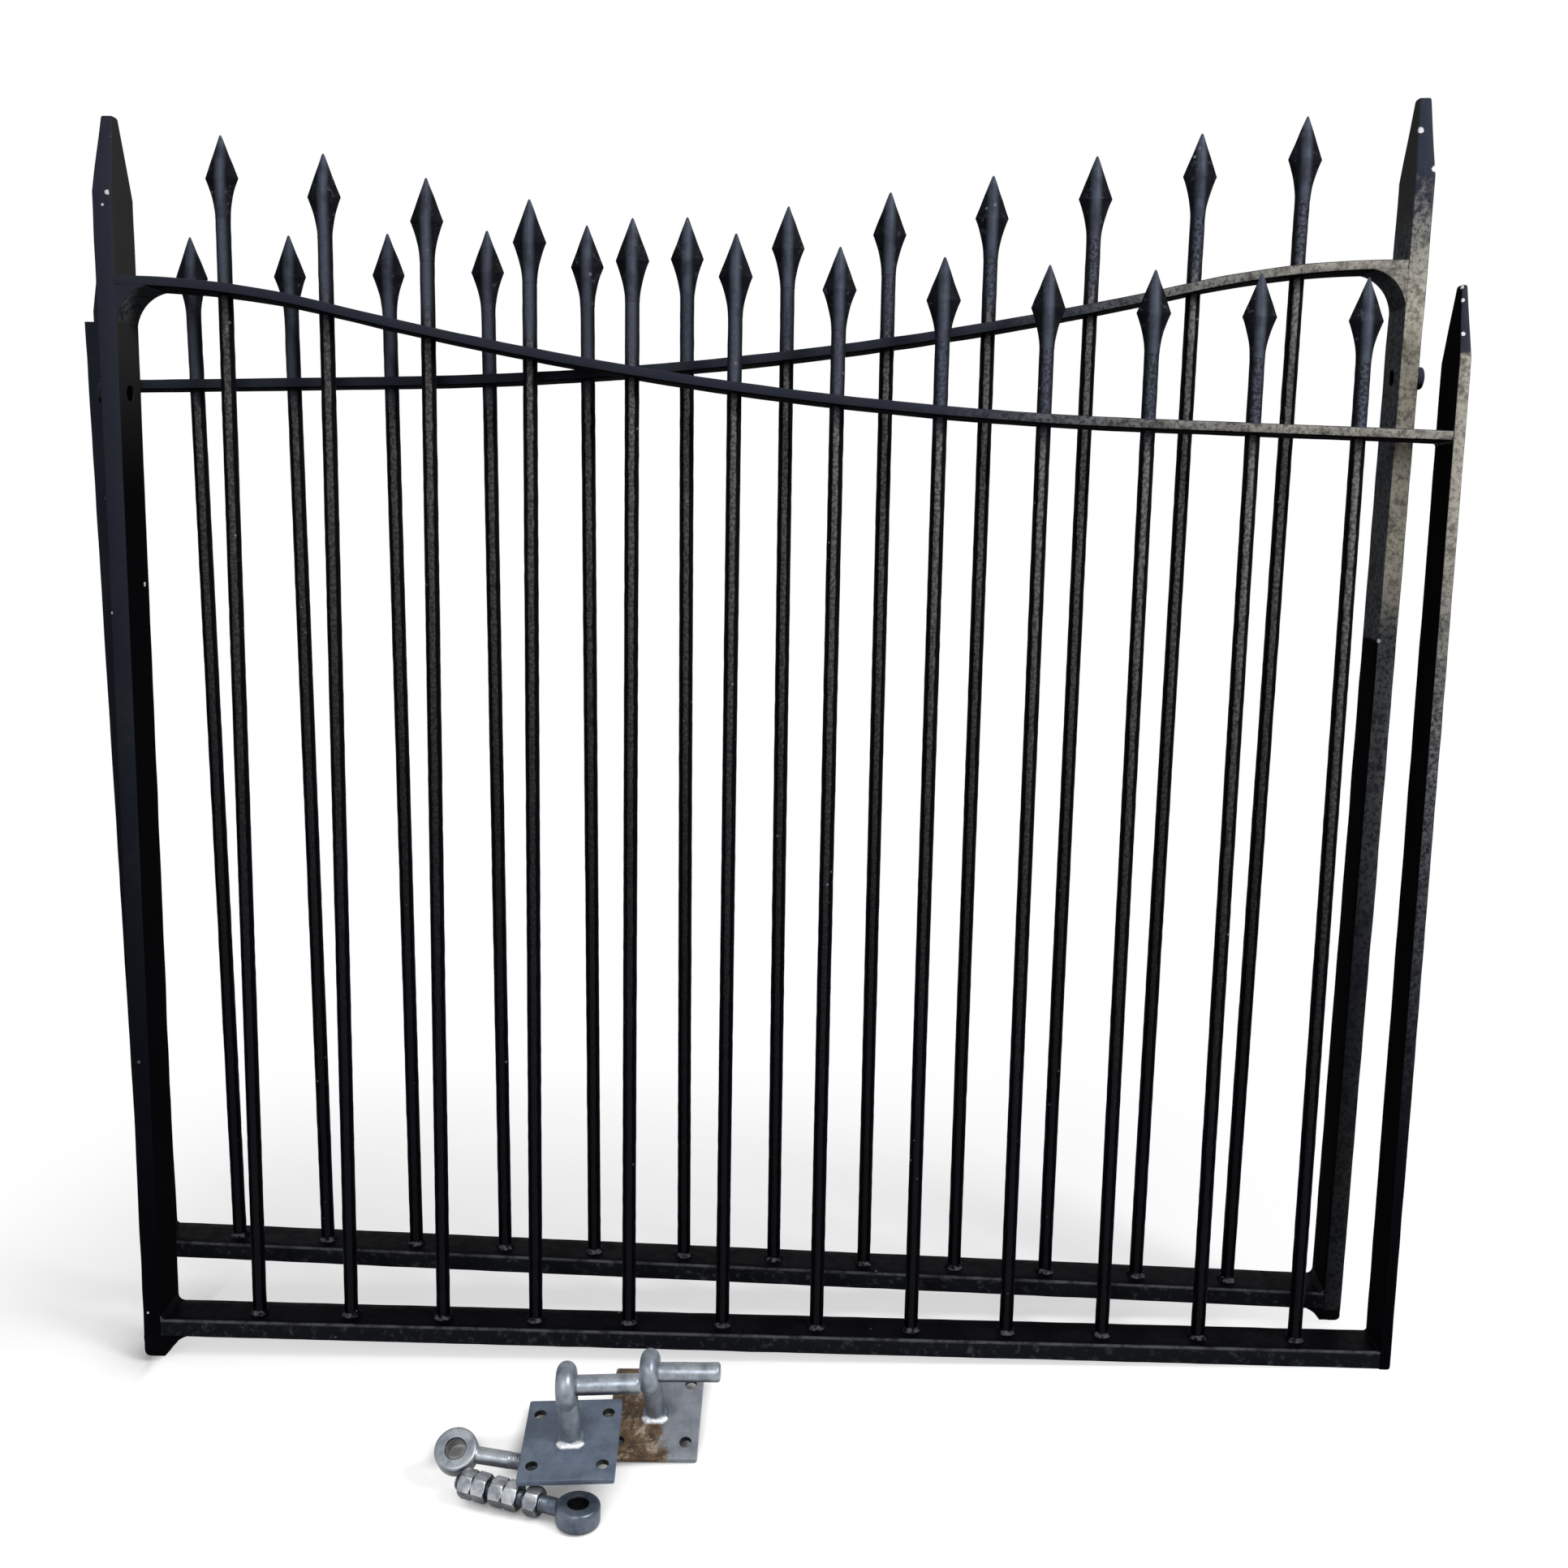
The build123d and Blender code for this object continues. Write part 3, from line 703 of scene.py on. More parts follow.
def gusset_film(rail_film):
    """The rail's own film on the flat faces, and thin grey dust in the hollow."""

    def film(paint, spots):
        mask, light = rail_film(paint, spots)
        hollow = paint.span(paint.math("ABSOLUTE", paint.split(paint.facing)[1]), 0.5, 0.2)
        flat = paint.math("SUBTRACT", 1.0, hollow)
        dust = paint.product(hollow, paint.span(spots[2], 1.096, 1.13, 0.3, 0.9))
        return paint.math("MAXIMUM", mask, dust), paint.product(light, flat)

    return film


for side in LEAF_PLACE:
    corner_x, corner_z = STILE_WIDE / 2 - 0.5, RAIL_HEIGHT - RAIL_DEPTH / 2 + 0.5
    hub_x, hub_z = corner_x + GUSSET_BEND, corner_z - GUSSET_BEND
    rings = []
    for y, soft in [(-y, soft) for y, soft in reversed(GUSSET_EDGE)] + list(GUSSET_EDGE):
        ring = [(corner_x, y, corner_z)]
        for degrees in steps(90, 180, 90 / 14):
            angle, reach = math.radians(degrees), GUSSET_BEND + soft
            ring.append((hub_x + reach * math.cos(angle), y, hub_z + reach * math.sin(angle)))
        rings.append(ring)
    bm = bmesh.new()
    lay_skin(bm, rings)
    finish = black_paint(f"black_paint_{side}_gusset", gusset_film(rail_films[side]))
    hang(side, "corner_gusset", bm, finish, ["top_bracket"])

# Hinge lugs: short thick tubes on the outside of the hanging stiles.
# Turned steel, welded over the bolt hole so that the eye bolt has a longer seat.
LUG_ACROSS = 23.0
LUG_LONG = 11.0

for side in LEAF_PLACE:
    inner, outer = BOLT_HOLE / 2, LUG_ACROSS / 2
    near, far = -STILE_WIDE / 2 + 0.4, -STILE_WIDE / 2 - LUG_LONG
    profile = [(near, inner), (near, outer), (far + 1.6, outer), (far + 0.5, outer - 0.5)]
    profile += [(far, outer - 1.6), (far, inner + 1.0), (far + 0.3, inner + 0.2), (far + 1.2, inner)]
    bm = bmesh.new()
    turned(bm, profile, "X", (0, 0, LUG_HEIGHT), 40, closed=True)
    hang(side, "hinge_lug", bm, paint_plain, ["hinge_boss"], 50)

# Round bars: twelve uprights in each leaf, from the bottom rail up through the top rail.
# Hot rolled round bar under many coats of paint, so the surface is lumpy and pitted; the side
# that faces out carries a painted highlight strip mixed with dust.
SPEAR_TALL = 82.0
SPEAR_REACH = 152.0
BAR_DENTS = (0.3, 11)


def off_axis(paint, along):
    """Distance of a point from the middle line of its bar, to either side."""
    start = (FIRST_BAR - BAR_PITCH / 2) * MM
    within = paint.math("MODULO", paint.math("SUBTRACT", along, start), BAR_PITCH * MM)
    return paint.math("SUBTRACT", within, BAR_PITCH / 2 * MM)


def ridge_highlight(paint, across):
    """Painted highlight: blue black with dark painted edges that lightens to a soft line down the
    middle.
    """
    middle = paint.span(paint.math("ABSOLUTE", across), 0.0075, 0.0012)
    return paint.mix(middle, screen(17, 18, 22), screen(76, 81, 94))


def bar_paint(side, toward, strip_near, strip_far):
    """Black paint with a painted highlight strip, mixed with dust, down the outward side, turned a
    little towards the given place along the leaf where the camera stands: beaded and grey up to the
    top rail, a smooth bluish painted ridge highlight above it, and nearly black towards the foot. The
    strip fades from one end of the leaf to the other."""
    paint = Finish(f"black_paint_on_{side}_bars")
    spots = paint.split(paint.place)
    across = off_axis(paint, spots[0])
    # Painted sheen: a little lighter upward.
    shade = paint.mix(sheen_height(paint, spots), screen(3, 3, 5), screen(13, 14, 18))
    # Painted highlight: a strip down the outward side, turned toward the camera's place along the
    # leaf, stronger upward and fading along the leaf; its grey is partly dust on the paint's beads.
    leaf_end = LEAF_WIDE * MM
    lean = paint.span(spots[0], 0.0, leaf_end, 0.3 * toward, 0.3 * (toward - leaf_end))
    outward = paint.math("ADD", paint.math("ABSOLUTE", spots[1]), paint.product(across, lean))
    outward = paint.span(paint.wander(outward, 5, 0.0008, 3.0), 0.0070, 0.0076)
    strip_rise = paint.math("POWER", paint.math("MINIMUM", spots[2], 1.0), 3.0)
    lumps = paint.noise(3.6, 4.0, 0.6)
    beads = paint.span(lumps, 0.4, 0.62, 0.35, 1.2)
    strip_along = paint.span(spots[0], 0.1, 1.27, strip_near, strip_far)
    # The dusty share and the dust tone carry both the painted highlight and real dust.
    dusty = paint.product(strip_rise, beads, strip_along)
    dust = paint.mix(dusty, screen(20, 21, 25), screen(120, 118, 115))
    shade = paint.mix(outward, shade, dust)
    rail_height = paint.span(spots[0], 0.05, 1.0, 1.15, 1.01)
    # Above the top rail: the painted ridge highlight, with dark mottles.
    above = paint.span(paint.math("SUBTRACT", spots[2], rail_height), -0.03, 0.015, 0.0, 0.95)
    worn = paint.product(paint.span(lumps, 0.56, 0.44), paint.span(strip_along, 0.6, 1.1, 0.1, 0.75))
    neck = paint.tint(ridge_highlight(paint, across), worn, (24, 25, 29))
    shade = paint.mix(above, shade, neck)
    speck = paint.specks(14, (0.12, 0.06), 70, (0.56, 0.64))
    shade = paint.tint(shade, speck, (136, 138, 144), 0.6)
    paint.bump(brush_pits(paint, (2.6, 4.0, 0.65), 8, 1.4), 0.7, 0.6)
    return paint.done(shade, paint.span(paint.noise(8), 0.3, 0.75, 0.36, 0.6))


paint_bars = {"front": bar_paint("front", 0.8, 0.4, 1.1), "rear": bar_paint("rear", 0.53, 1.1, 0.4)}
for seed, side in enumerate(LEAF_PLACE, 11):
    bm = bmesh.new()
    for x in BAR_AT:
        foot = RAIL_THICK + RAIL_SLOPE * x
        top = rail_line(x)[0] + SPEAR_REACH - SPEAR_TALL
        rings = []
        for z in steps(foot, top, 9):
            slope = RAIL_SLOPE if z == foot else 0.0
            rings.append([(x + a, b, z + slope * a) for a, b in ring_points(BAR_THICK / 2, 20)])
        lay_skin(bm, rings)
    dent(bm, *BAR_DENTS, seed)
    nodes = [f"bar_{index + 1:02d}" for index in range(len(BAR_AT))]
    hang(side, "round_bars", bm, paint_bars[side], nodes, 60)

# Spear heads: each bar is forged at its top into a spear that swells smoothly from the round
# bar to a lozenge with a soft ridge down its middle, then runs straight to a point.
SPEAR_WIDE = 34.5
SPEAR_THICK = 17.0
SPEAR_SHOULDER = 40.0
SPEAR_DENTS = (0.35, 14)
SPEAR_POINT = (0.9, 0.7)


def spear_form(z):
    """Half width, half thickness and squareness of a spear's section at a height above its base."""
    if z < SPEAR_SHOULDER:
        share = z / SPEAR_SHOULDER
        neck = BAR_THICK / 2 + 0.1
        wide = neck + (SPEAR_WIDE / 2 - neck) * share**1.75
        thick = neck + (SPEAR_THICK / 2 - neck) * share
    else:
        share = (SPEAR_TALL - z) / (SPEAR_TALL - SPEAR_SHOULDER)
        wide = SPEAR_POINT[0] + (SPEAR_WIDE / 2 - SPEAR_POINT[0]) * share
        thick = SPEAR_POINT[1] + (SPEAR_THICK / 2 - SPEAR_POINT[1]) * share
    if z == SPEAR_TALL:
        wide, thick = wide / 2, thick / 2
    return wide, thick, 2 - 0.82 * min(1.0, z / 30) ** 1.2


def spear_paint():
    """Blue black with a painted highlight down the middle of every spear and dark painted edges."""
    paint = Finish("black_paint_on_spears")
    shade = ridge_highlight(paint, off_axis(paint, paint.split(paint.place)[0]))
    cloud = paint.span(paint.noise(16), 0.4, 0.68, 0.0, 0.5)
    shade = paint.tint(shade, cloud, (32, 34, 41))
    dusty = paint.span(paint.noise(7, 5.0, 0.7), 0.56, 0.72)
    shade = paint.tint(shade, dusty, (92, 94, 100), 0.45)
    speck = paint.specks(15, (0.15, 0.07), 50, (0.5, 0.6))
    shade = paint.tint(shade, speck, (140, 142, 148), 0.6)
    paint.bump(paint.noise(7, 4.0, 0.6), 0.7, 0.5)
    return paint.done(shade, paint.span(paint.noise(12), 0.3, 0.75, 0.34, 0.55))


paint_spears = spear_paint()
levels = steps(0, SPEAR_SHOULDER - 3, 2.6)
levels += [SPEAR_SHOULDER + rise for rise in (-1, 0, 1, 3)]
levels += steps(SPEAR_SHOULDER + 6, SPEAR_TALL - 0.8, 3) + [SPEAR_TALL]
for seed, side in enumerate(LEAF_PLACE, 13):
    bm = bmesh.new()
    for x in BAR_AT:
        base = rail_line(x)[0] + SPEAR_REACH - SPEAR_TALL
        rings = []
        for z in levels:
            wide, thick, square = spear_form(z)
            ring = []
            for c, s in ring_points(1.0, 28):
                out = math.copysign(abs(c) ** (2 / square), c) * wide
                ring.append((x + out, math.copysign(abs(s) ** (2 / square), s) * thick, base + z))
            rings.append(ring)
        lay_skin(bm, rings)
    dent(bm, *SPEAR_DENTS, seed)
    hang(side, "spears", bm, paint_spears, ["spear_heads"], 70)

# Weld beads at the bars' feet: one lumpy bead round each bar, where it stands on the rail.
# Laid by hand and painted over; the high spots on the outward faces are a dull grey, partly rubbed
# and partly painted highlight.
BEAD_LEG = 3.5
BEAD_TALL = 4.5
BEAD_FORM = ((0, -0.4), (1.06, -0.4), (1.0, 0.22), (0.74, 0.56), (0.42, 0.86), (0.14, 1.02), (0, 1.06))
BEAD_DENTS = (0.3, 4)


def bead_paint():
    paint = Finish("painted_weld_worn_and_highlit")
    lumps = paint.noise(4, 4.0, 0.6)
    # Dull grey on lumps of the outward faces: partly rubbed paint, partly painted highlight.
    outward = paint.span(paint.math("ABSOLUTE", paint.split(paint.facing)[1]), 0.35, 0.75)
    worn_and_highlit = paint.product(outward, paint.span(lumps, 0.38, 0.6))
    shade = paint.mix(worn_and_highlit, screen(7, 7, 10), screen(78, 79, 82))
    paint.bump(paint.noise(1.6, 3.0), 0.4, 0.7)
    return paint.done(shade, paint.span(lumps, 0.3, 0.7, 0.55, 0.36))


paint_bead = bead_paint()
for seed, side in enumerate(LEAF_PLACE, 15):
    bm = bmesh.new()
    inner = BAR_THICK / 2 - 0.3
    for bar, x in enumerate(BAR_AT):
        foot = RAIL_THICK + RAIL_SLOPE * x
        rings = []
        for c, s in ring_points(1.0, 26):
            where = Vector((c * 1.6 + bar * 5.1, s * 1.6, 0 if side == "front" else 9))
            lump = 1 + 0.3 * noise.noise(where)
            ring = []
            for out, up in BEAD_FORM:
                radius = inner + BEAD_LEG * lump * out
                level = foot + RAIL_SLOPE * radius * c + BEAD_TALL * lump * up
                ring.append((x + radius * c, radius * s, level))
            rings.append(ring)
        lay_skin(bm, rings, closed=True)
    dent(bm, *BEAD_DENTS, seed)
    hang(side, "foot_beads", bm, paint_bead, ["foot_welds"], 70)

# Weld beads in the frame's corners: hollow fillets across the rails' full depth, where the
# bottom rail meets both stiles and the top rail meets the meeting stile. Painted with the frame.
FOOT_CORNER = 8.0
MEETING_CORNER = 3.0

for side in LEAF_PLACE:
    face, meet = RAIL_ENDS
    under_top = rail_line(meet)[0] - RAIL_DEPTH / 2 / math.cos(RUN_OUT)
    corners = (
        (face, RAIL_THICK + RAIL_SLOPE * face, 1, 1, FOOT_CORNER),
        (meet, RAIL_THICK + RAIL_SLOPE * meet, -1, 1, MEETING_CORNER),
        (meet, under_top, -1, -1, MEETING_CORNER),
    )
    reach = FRAME_DEEP / 2 - 0.3
    bm = bmesh.new()
    for number, (x, z, out, up, size) in enumerate(corners):
        rings = []
        for y in steps(-reach, reach, 1.4):
            end = 0.6 if abs(y) > reach - 0.2 else 1.0
            lump = noise.noise(Vector((y / 4, number * 3.3, 1 if side == "front" else 8)))
            leg = size * end * (0.92 + 0.16 * lump)
            ring = [(x - out * 0.4, y, z - up * 0.4)]
            for angle in steps(0, math.pi / 2, math.pi / 12):
                run, rise = leg * (1 - math.sin(angle)), leg * (1 - math.cos(angle))
                ring.append((x + out * run, y, z + up * rise))
            rings.append(ring)
        lay_skin(bm, rings)
    hang(side, "corner_beads", bm, paint_bead, ["frame_welds"], 60)

# Hook plates of the top hinges: square back plates with four bolt holes, lying on the ground.
# Sheared from mild steel plate and hot dip galvanised, so the zinc is blue grey and clouded;
# the rear one is browned by rust and soil round its left half.
PLATE_WIDE = 92.0
PLATE_LONG = 105.0
PLATE_THICK = 6.0
PLATE_ROUND = 2.0
PLATE_EASE = 0.7
PLATE_HOLE = 11.0
PLATE_PITCH = 67.0
FRONT_HOOK = shift(518, -296, 29.23) @ turn("Z", 3.5) @ turn("X", 12)
REAR_HOOK = shift(586, -211, 0) @ turn("X", 24)
HOOK_PLACE = {"front": FRONT_HOOK, "rear": REAR_HOOK}


def lay_iron(name, mesh, place, finish, node, crease):
    """Lay one of the loose irons in its place on the ground."""
    fit(name, mesh, place, finish, "hinge_irons", [node], crease)


def zinc(name, dark, light, rough, metal, wear, dirt_and_shade=None, under=None):
    """Galvanised steel: clouded zinc with dull white bloom and dark handling marks. The side that
    faces under is painted near black as shade."""
    finish = Finish(name)
    cloud = finish.span(finish.noise(20, 5.0, 0.65), 0.34, 0.66)
    shade = finish.mix(cloud, screen(*dark), screen(*light))
    facet = finish.split(finish.cells(7, "Color"))[0]
    shade = finish.tint(shade, facet, light, 0.2)
    bloom = finish.span(finish.noise(6, 6.0, 0.7), 0.6, 0.74)
    shade = finish.tint(shade, bloom, (206, 209, 212), 0.5 * wear)
    stain = finish.span(finish.noise(13, 5.0, 0.7), 0.6, 0.72)
    shade = finish.tint(shade, stain, (40, 44, 52), 0.7 * wear)
    if dirt_and_shade:
        shade = dirt_and_shade(finish, finish.split(finish.place), shade)
    # Painted shade: the side that faces under is made near black.
    if under:
        below = finish.vector_math("DOT_PRODUCT", finish.facing, under)
        under_shade = finish.wander(below, 9, 0.3)
        shade = finish.tint(shade, finish.span(under_shade, 0.15, 0.75, 0.0, 0.92), (30, 33, 38))
    finish.bump(finish.noise(2.5, 5.0, 0.6), 0.3, 0.15 + 0.25 * wear)
    return finish.done(shade, finish.span(finish.noise(9), 0.3, 0.7, *rough), metal, 0.4)


def from_middle(finish, across, along):
    """Distance of a point from the middle of a round hole."""
    squares = finish.math("ADD", finish.product(across, across), finish.product(along, along))
    return finish.math("SQRT", squares)


def plate_hole_shade(finish, spots, shade):
    """Painted shade that blackens the walls of the bolt holes."""
    half = PLATE_PITCH / 2 * MM
    back = finish.math("SUBTRACT", spots[1], PLATE_LONG / 2 * MM)
    across, along = (
        finish.math("SUBTRACT", finish.math("ABSOLUTE", value), half) for value in (spots[0], back)
    )
    reach = from_middle(finish, across, along)
    wall = finish.span(reach, (PLATE_HOLE / 2 + 0.9) * MM, (PLATE_HOLE / 2 + 0.2) * MM)
    return finish.tint(shade, wall, (13, 14, 17))


def plate_soil(finish, spots, shade):
    """Brown soil and rust over the plate's left half, streaked beige and blotched dark."""
    slant = finish.math("ADD", spots[0], finish.product(spots[1], 0.35))
    side = finish.product(finish.span(finish.wander(slant, 16, 0.04), 0.046, 0.034), 0.95)
    patch = finish.span(finish.noise(9, 5.0, 0.7), 0.36, 0.64)
    soil = finish.mix(patch, screen(66, 48, 32), screen(116, 90, 60))
    streak = finish.span(finish.noise(12, 5.0, 0.75), 0.52, 0.62)
    soil = finish.tint(soil, streak, (168, 158, 142), 0.8)
    blotch = finish.span(finish.noise(10, 4.0, 0.65), 0.42, 0.34)
    soil = finish.tint(soil, blotch, (34, 29, 25), 0.85)
    return plate_hole_shade(finish, spots, finish.mix(side, shade, soil))


def plate_mesh():
    """Plate with eased edges and drilled holes, filled from flat outlines."""
    outline = bpy.data.curves.new("plate_outline", "CURVE")
    outline.dimensions = "2D"
    outline.fill_mode = "BOTH"
    outline.extrude = (PLATE_THICK / 2 - PLATE_EASE) * MM
    outline.bevel_depth = PLATE_EASE * MM
    outline.bevel_resolution = 2
    outline.offset = -PLATE_EASE * MM
    loops = [flat_bar_section(PLATE_WIDE, PLATE_LONG, PLATE_ROUND, 5, 1)]
    for x in (-PLATE_PITCH / 2, PLATE_PITCH / 2):
        for y in (-PLATE_PITCH / 2, PLATE_PITCH / 2):
            loops.append([(x + a, y + b) for a, b in ring_points(PLATE_HOLE / 2, 28)])
    for loop in loops:
        spline = outline.splines.new("POLY")
        spline.points.add(len(loop) - 1)
        for point, (x, y) in zip(spline.points, loop):
            point.co = (x * MM, (y + PLATE_LONG / 2) * MM, PLATE_THICK / 2 * MM, 1)
        spline.use_cyclic_u = True
    shape = put_in_scene("plate_outline", outline)
    bm = bmesh.new()
    bm.from_mesh(formed_mesh(shape))
    bpy.data.objects.remove(shape)
    bmesh.ops.remove_doubles(bm, verts=bm.verts, dist=1e-6)
    return finish_mesh(bm, "backplate")


zinc_plate = {
    "front": zinc(
        "zinc_on_plate", (82, 93, 110), (104, 115, 131), (0.5, 0.62), 0.3, 0.12, plate_hole_shade
    ),
    "rear": zinc(
        "zinc_on_rusty_plate", (112, 118, 128), (138, 142, 150), (0.5, 0.65), 0.3, 0.3, plate_soil
    ),
}
for side, place in HOOK_PLACE.items():
    name, node = f"{side}_hook_backplate", f"{side}_hook_plate"
    lay_iron(name, plate_mesh(), place, zinc_plate[side], node, 30)

# Hook stems: round bars that stand on the plates and carry a thick forged eye at the head.
# Stem and eye are drop forged in one, so they run into each other in a soft hollow, and galvanised.
HOOK_REACH = 64.0
HOOK_HEAD = (0, PLATE_LONG / 2, PLATE_THICK + HOOK_REACH)
STEM_THICK = 20.0
HOOK_EYE = (45.0, 18.5)
HOOK_EASE = 9.0


def soft_union(bm, grain, passes, name):
    """Fuse overlapping lumps into one forged skin with softened corners."""
    lumps = put_in_scene(name, finish_mesh(bm, name))
    fuse = lumps.modifiers.new("fuse", "REMESH")
    fuse.mode = "VOXEL"
    fuse.voxel_size = grain * MM
    soften = lumps.modifiers.new("soften", "SMOOTH")
    soften.factor = 0.5
    soften.iterations = passes
    mesh = formed_mesh(lumps)
    bpy.data.objects.remove(lumps)
    return mesh


def eased_disc(across, thick, ease, hub=0.4):
    """Profile of a disc with rounded rims, as pairs along and radius."""
    profile = [(-thick / 2, hub)]
    for angle in steps(0, math.pi / 2, math.pi / 10):
        along = -thick / 2 + ease * (1 - math.cos(angle))
        profile.append((along, across / 2 - ease * (1 - math.sin(angle))))
    return profile + [(-along, radius) for along, radius in reversed(profile)]


zinc_stem = zinc("zinc_on_forging", (104, 113, 124), (146, 153, 162), (0.36, 0.5), 0.6, 0.3)
for side, place in HOOK_PLACE.items():
    bm = bmesh.new()
    turned(bm, eased_disc(*HOOK_EYE, HOOK_EASE), "X", HOOK_HEAD)
    turned(bm, [(-HOOK_REACH + 0.2, STEM_THICK / 2), (-8, STEM_THICK / 2)], "Z", HOOK_HEAD)
    mesh = soft_union(bm, 0.9, 6, "hook_stem")
    lay_iron(f"{side}_hook_stem", mesh, place, zinc_stem, f"{side}_hook_arm", 80)

# Hook pins: turned round pins set in the forged eyes, on which the eye bolts hang.
# Bright galvanised steel with a small chamfer, scuffed dull where the eyes have rubbed.
PIN_THICK = 19.0
PIN_START = 8.0
PIN_LONG = 62.0
PIN_DENTS = (0.15, 8)
SPIGOT = 15.0
HOOK_UNDER = (0.0, -0.3, -0.95)

zinc_pin = zinc(
    "zinc_on_pin", (106, 113, 121), (154, 160, 167), (0.28, 0.42), 0.7, 0.35, under=HOOK_UNDER
)
for seed, (side, place) in enumerate(HOOK_PLACE.items(), 21):
    start, end = PIN_START, PIN_START + PIN_LONG
    inner, outer = SPIGOT / 2, PIN_THICK / 2
    profile = [(-start - 0.3, inner - 1.2), (-start - 0.1, inner - 0.4), (-start + 0.4, inner)]
    profile += [(start + 0.5, inner), (start + 0.5, outer - 0.4), (start + 0.9, outer)]
    profile += [(along, outer) for along in steps(start + 4, end - 2.2, 4)]
    profile += [(end - 1.5, outer - 0.15), (end - 0.3, outer - 1.3), (end, outer - 1.9)]
    bm = bmesh.new()
    turned(bm, profile, "X", HOOK_HEAD)
    dent(bm, *PIN_DENTS, seed)
    mesh = finish_mesh(bm, "spindle")
    lay_iron(f"{side}_hook_spindle", mesh, place, zinc_pin, f"{side}_hook_pin", 45)

# Weld beads at the stems' feet: a bright rippled ring that joins each stem to its plate.
# Laid after galvanising and only brushed, so it shines whiter than the zinc around it.
STEM_BEAD = 3.5
STEM_BEAD_FORM = (
    (-0.1, -0.06), (1.0, -0.06), (0.94, 0.3), (0.72, 0.62), (0.4, 0.86), (0.1, 1.0), (-0.1, 1.0)
)


def bright_bead():
    metal = Finish("bright_weld")
    lumps = metal.noise(3, 4.0, 0.6)
    shade = metal.mix(metal.span(lumps, 0.35, 0.68), screen(200, 203, 207), screen(236, 237, 239))
    middle = PLATE_LONG / 2
    behind = metal.span(metal.split(metal.place)[1], (middle - 9) * MM, (middle - 5) * MM)
    shade = metal.tint(shade, behind, (112, 121, 133))
    metal.bump(metal.noise(1.4, 3.0), 0.4, 0.6)
    return metal.done(shade, metal.span(lumps, 0.3, 0.7, 0.3, 0.5), 0.5, 0.5)


weld_bright = bright_bead()
for side, place in HOOK_PLACE.items():
    stem = STEM_THICK / 2
    rings = []
    for index in range(72):
        angle = 2 * math.pi * index / 72
        c, s = math.cos(angle), math.sin(angle)
        lump = noise.noise(Vector((2 * c, 2 * s, 0 if side == "front" else 5)))
        tall = STEM_BEAD * (1 + 0.05 * math.sin(14 * angle) + 0.08 * lump)
        spread = tall
        if s < -0.4:
            spread = max(tall, min((stem + STEM_BEAD) / -s - stem, 1.7 * STEM_BEAD))
        ring = []
        for out, up in STEM_BEAD_FORM:
            radius = stem + spread * out
            ring.append((radius * c, PLATE_LONG / 2 + radius * s, PLATE_THICK + tall * up))
        rings.append(ring)
    bm = bmesh.new()
    lay_skin(bm, rings, closed=True)
    mesh = finish_mesh(bm, "hook_bead")
    lay_iron(f"{side}_hook_bead", mesh, place, weld_bright, f"{side}_hook_weld", 70)

# Eye bolts of the top hinges: forged eyes with a long screwed shank, lying on the ground.
# The eye is drop forged and bored, the shank is cut with a coarse thread for its nuts, and
# the whole is galvanised; zinc lies thick and dull in the thread.
BOLT_THICK = 16.0
BOLT_LONG = 126.0
EYE_ACROSS = 42.0
EYE_BORE = 20.0
EYE_THICK = 20.0
EYE_EASE = 3.4
THREAD_PITCH = 2.0
THREAD_DEEP = 1.0
NECK = {"left": 51.0, "right": 27.0}
RIGHT_BOLT = shift(532, -311, 11.44) @ turn("Z", 164.1) @ turn("Y", -4)
LEFT_REST = Vector((-46, 39, -8.3))
LEFT_BOLT = (
    Matrix.Translation(FRONT_HOOK @ (LEFT_REST * MM))
    @ turn("Z", -5)
    @ turn("Y", 6)
    @ shift(-65, 0, 0)
    @ turn("X", 40)
)
BOLT_PLACE = {"left": LEFT_BOLT, "right": RIGHT_BOLT}
BOLT_UNDER = {"left": (0.1, -0.64, -0.76), "right": (0.0, 0.0, -1.0)}


def threaded_shank(bm, neck):
    """Shank with a cut thread, skinned ring by ring; the groove winds round as the rings advance."""
    around, crest = 24, BOLT_THICK / 2
    rings = []
    for x in steps(neck, BOLT_LONG, THREAD_PITCH / 6):
        fade = min(1.0, (x - neck) / 4, (BOLT_LONG + 0.6 - x) / 2.5)
        taper = max(0.0, x - BOLT_LONG + 1.3)
        ring = []
        for index, (c, s) in enumerate(ring_points(1.0, around)):
            phase = (x / THREAD_PITCH - index / around) % 1.0
            groove = THREAD_DEEP * (1 - abs(2 * phase - 1)) * max(0.0, fade)
            radius = crest - groove - taper
            ring.append((x, radius * c, radius * s))
        rings.append(ring)
    lay_skin(bm, rings)


def bore_shade(finish, spots, shade):
    """Painted shade that blackens the eye's bore."""
    reach = from_middle(finish, spots[0], spots[1])
    wall = finish.span(reach, (EYE_BORE / 2 + 1.2) * MM, EYE_BORE / 2 * MM)
    return finish.tint(shade, wall, (24, 26, 30))


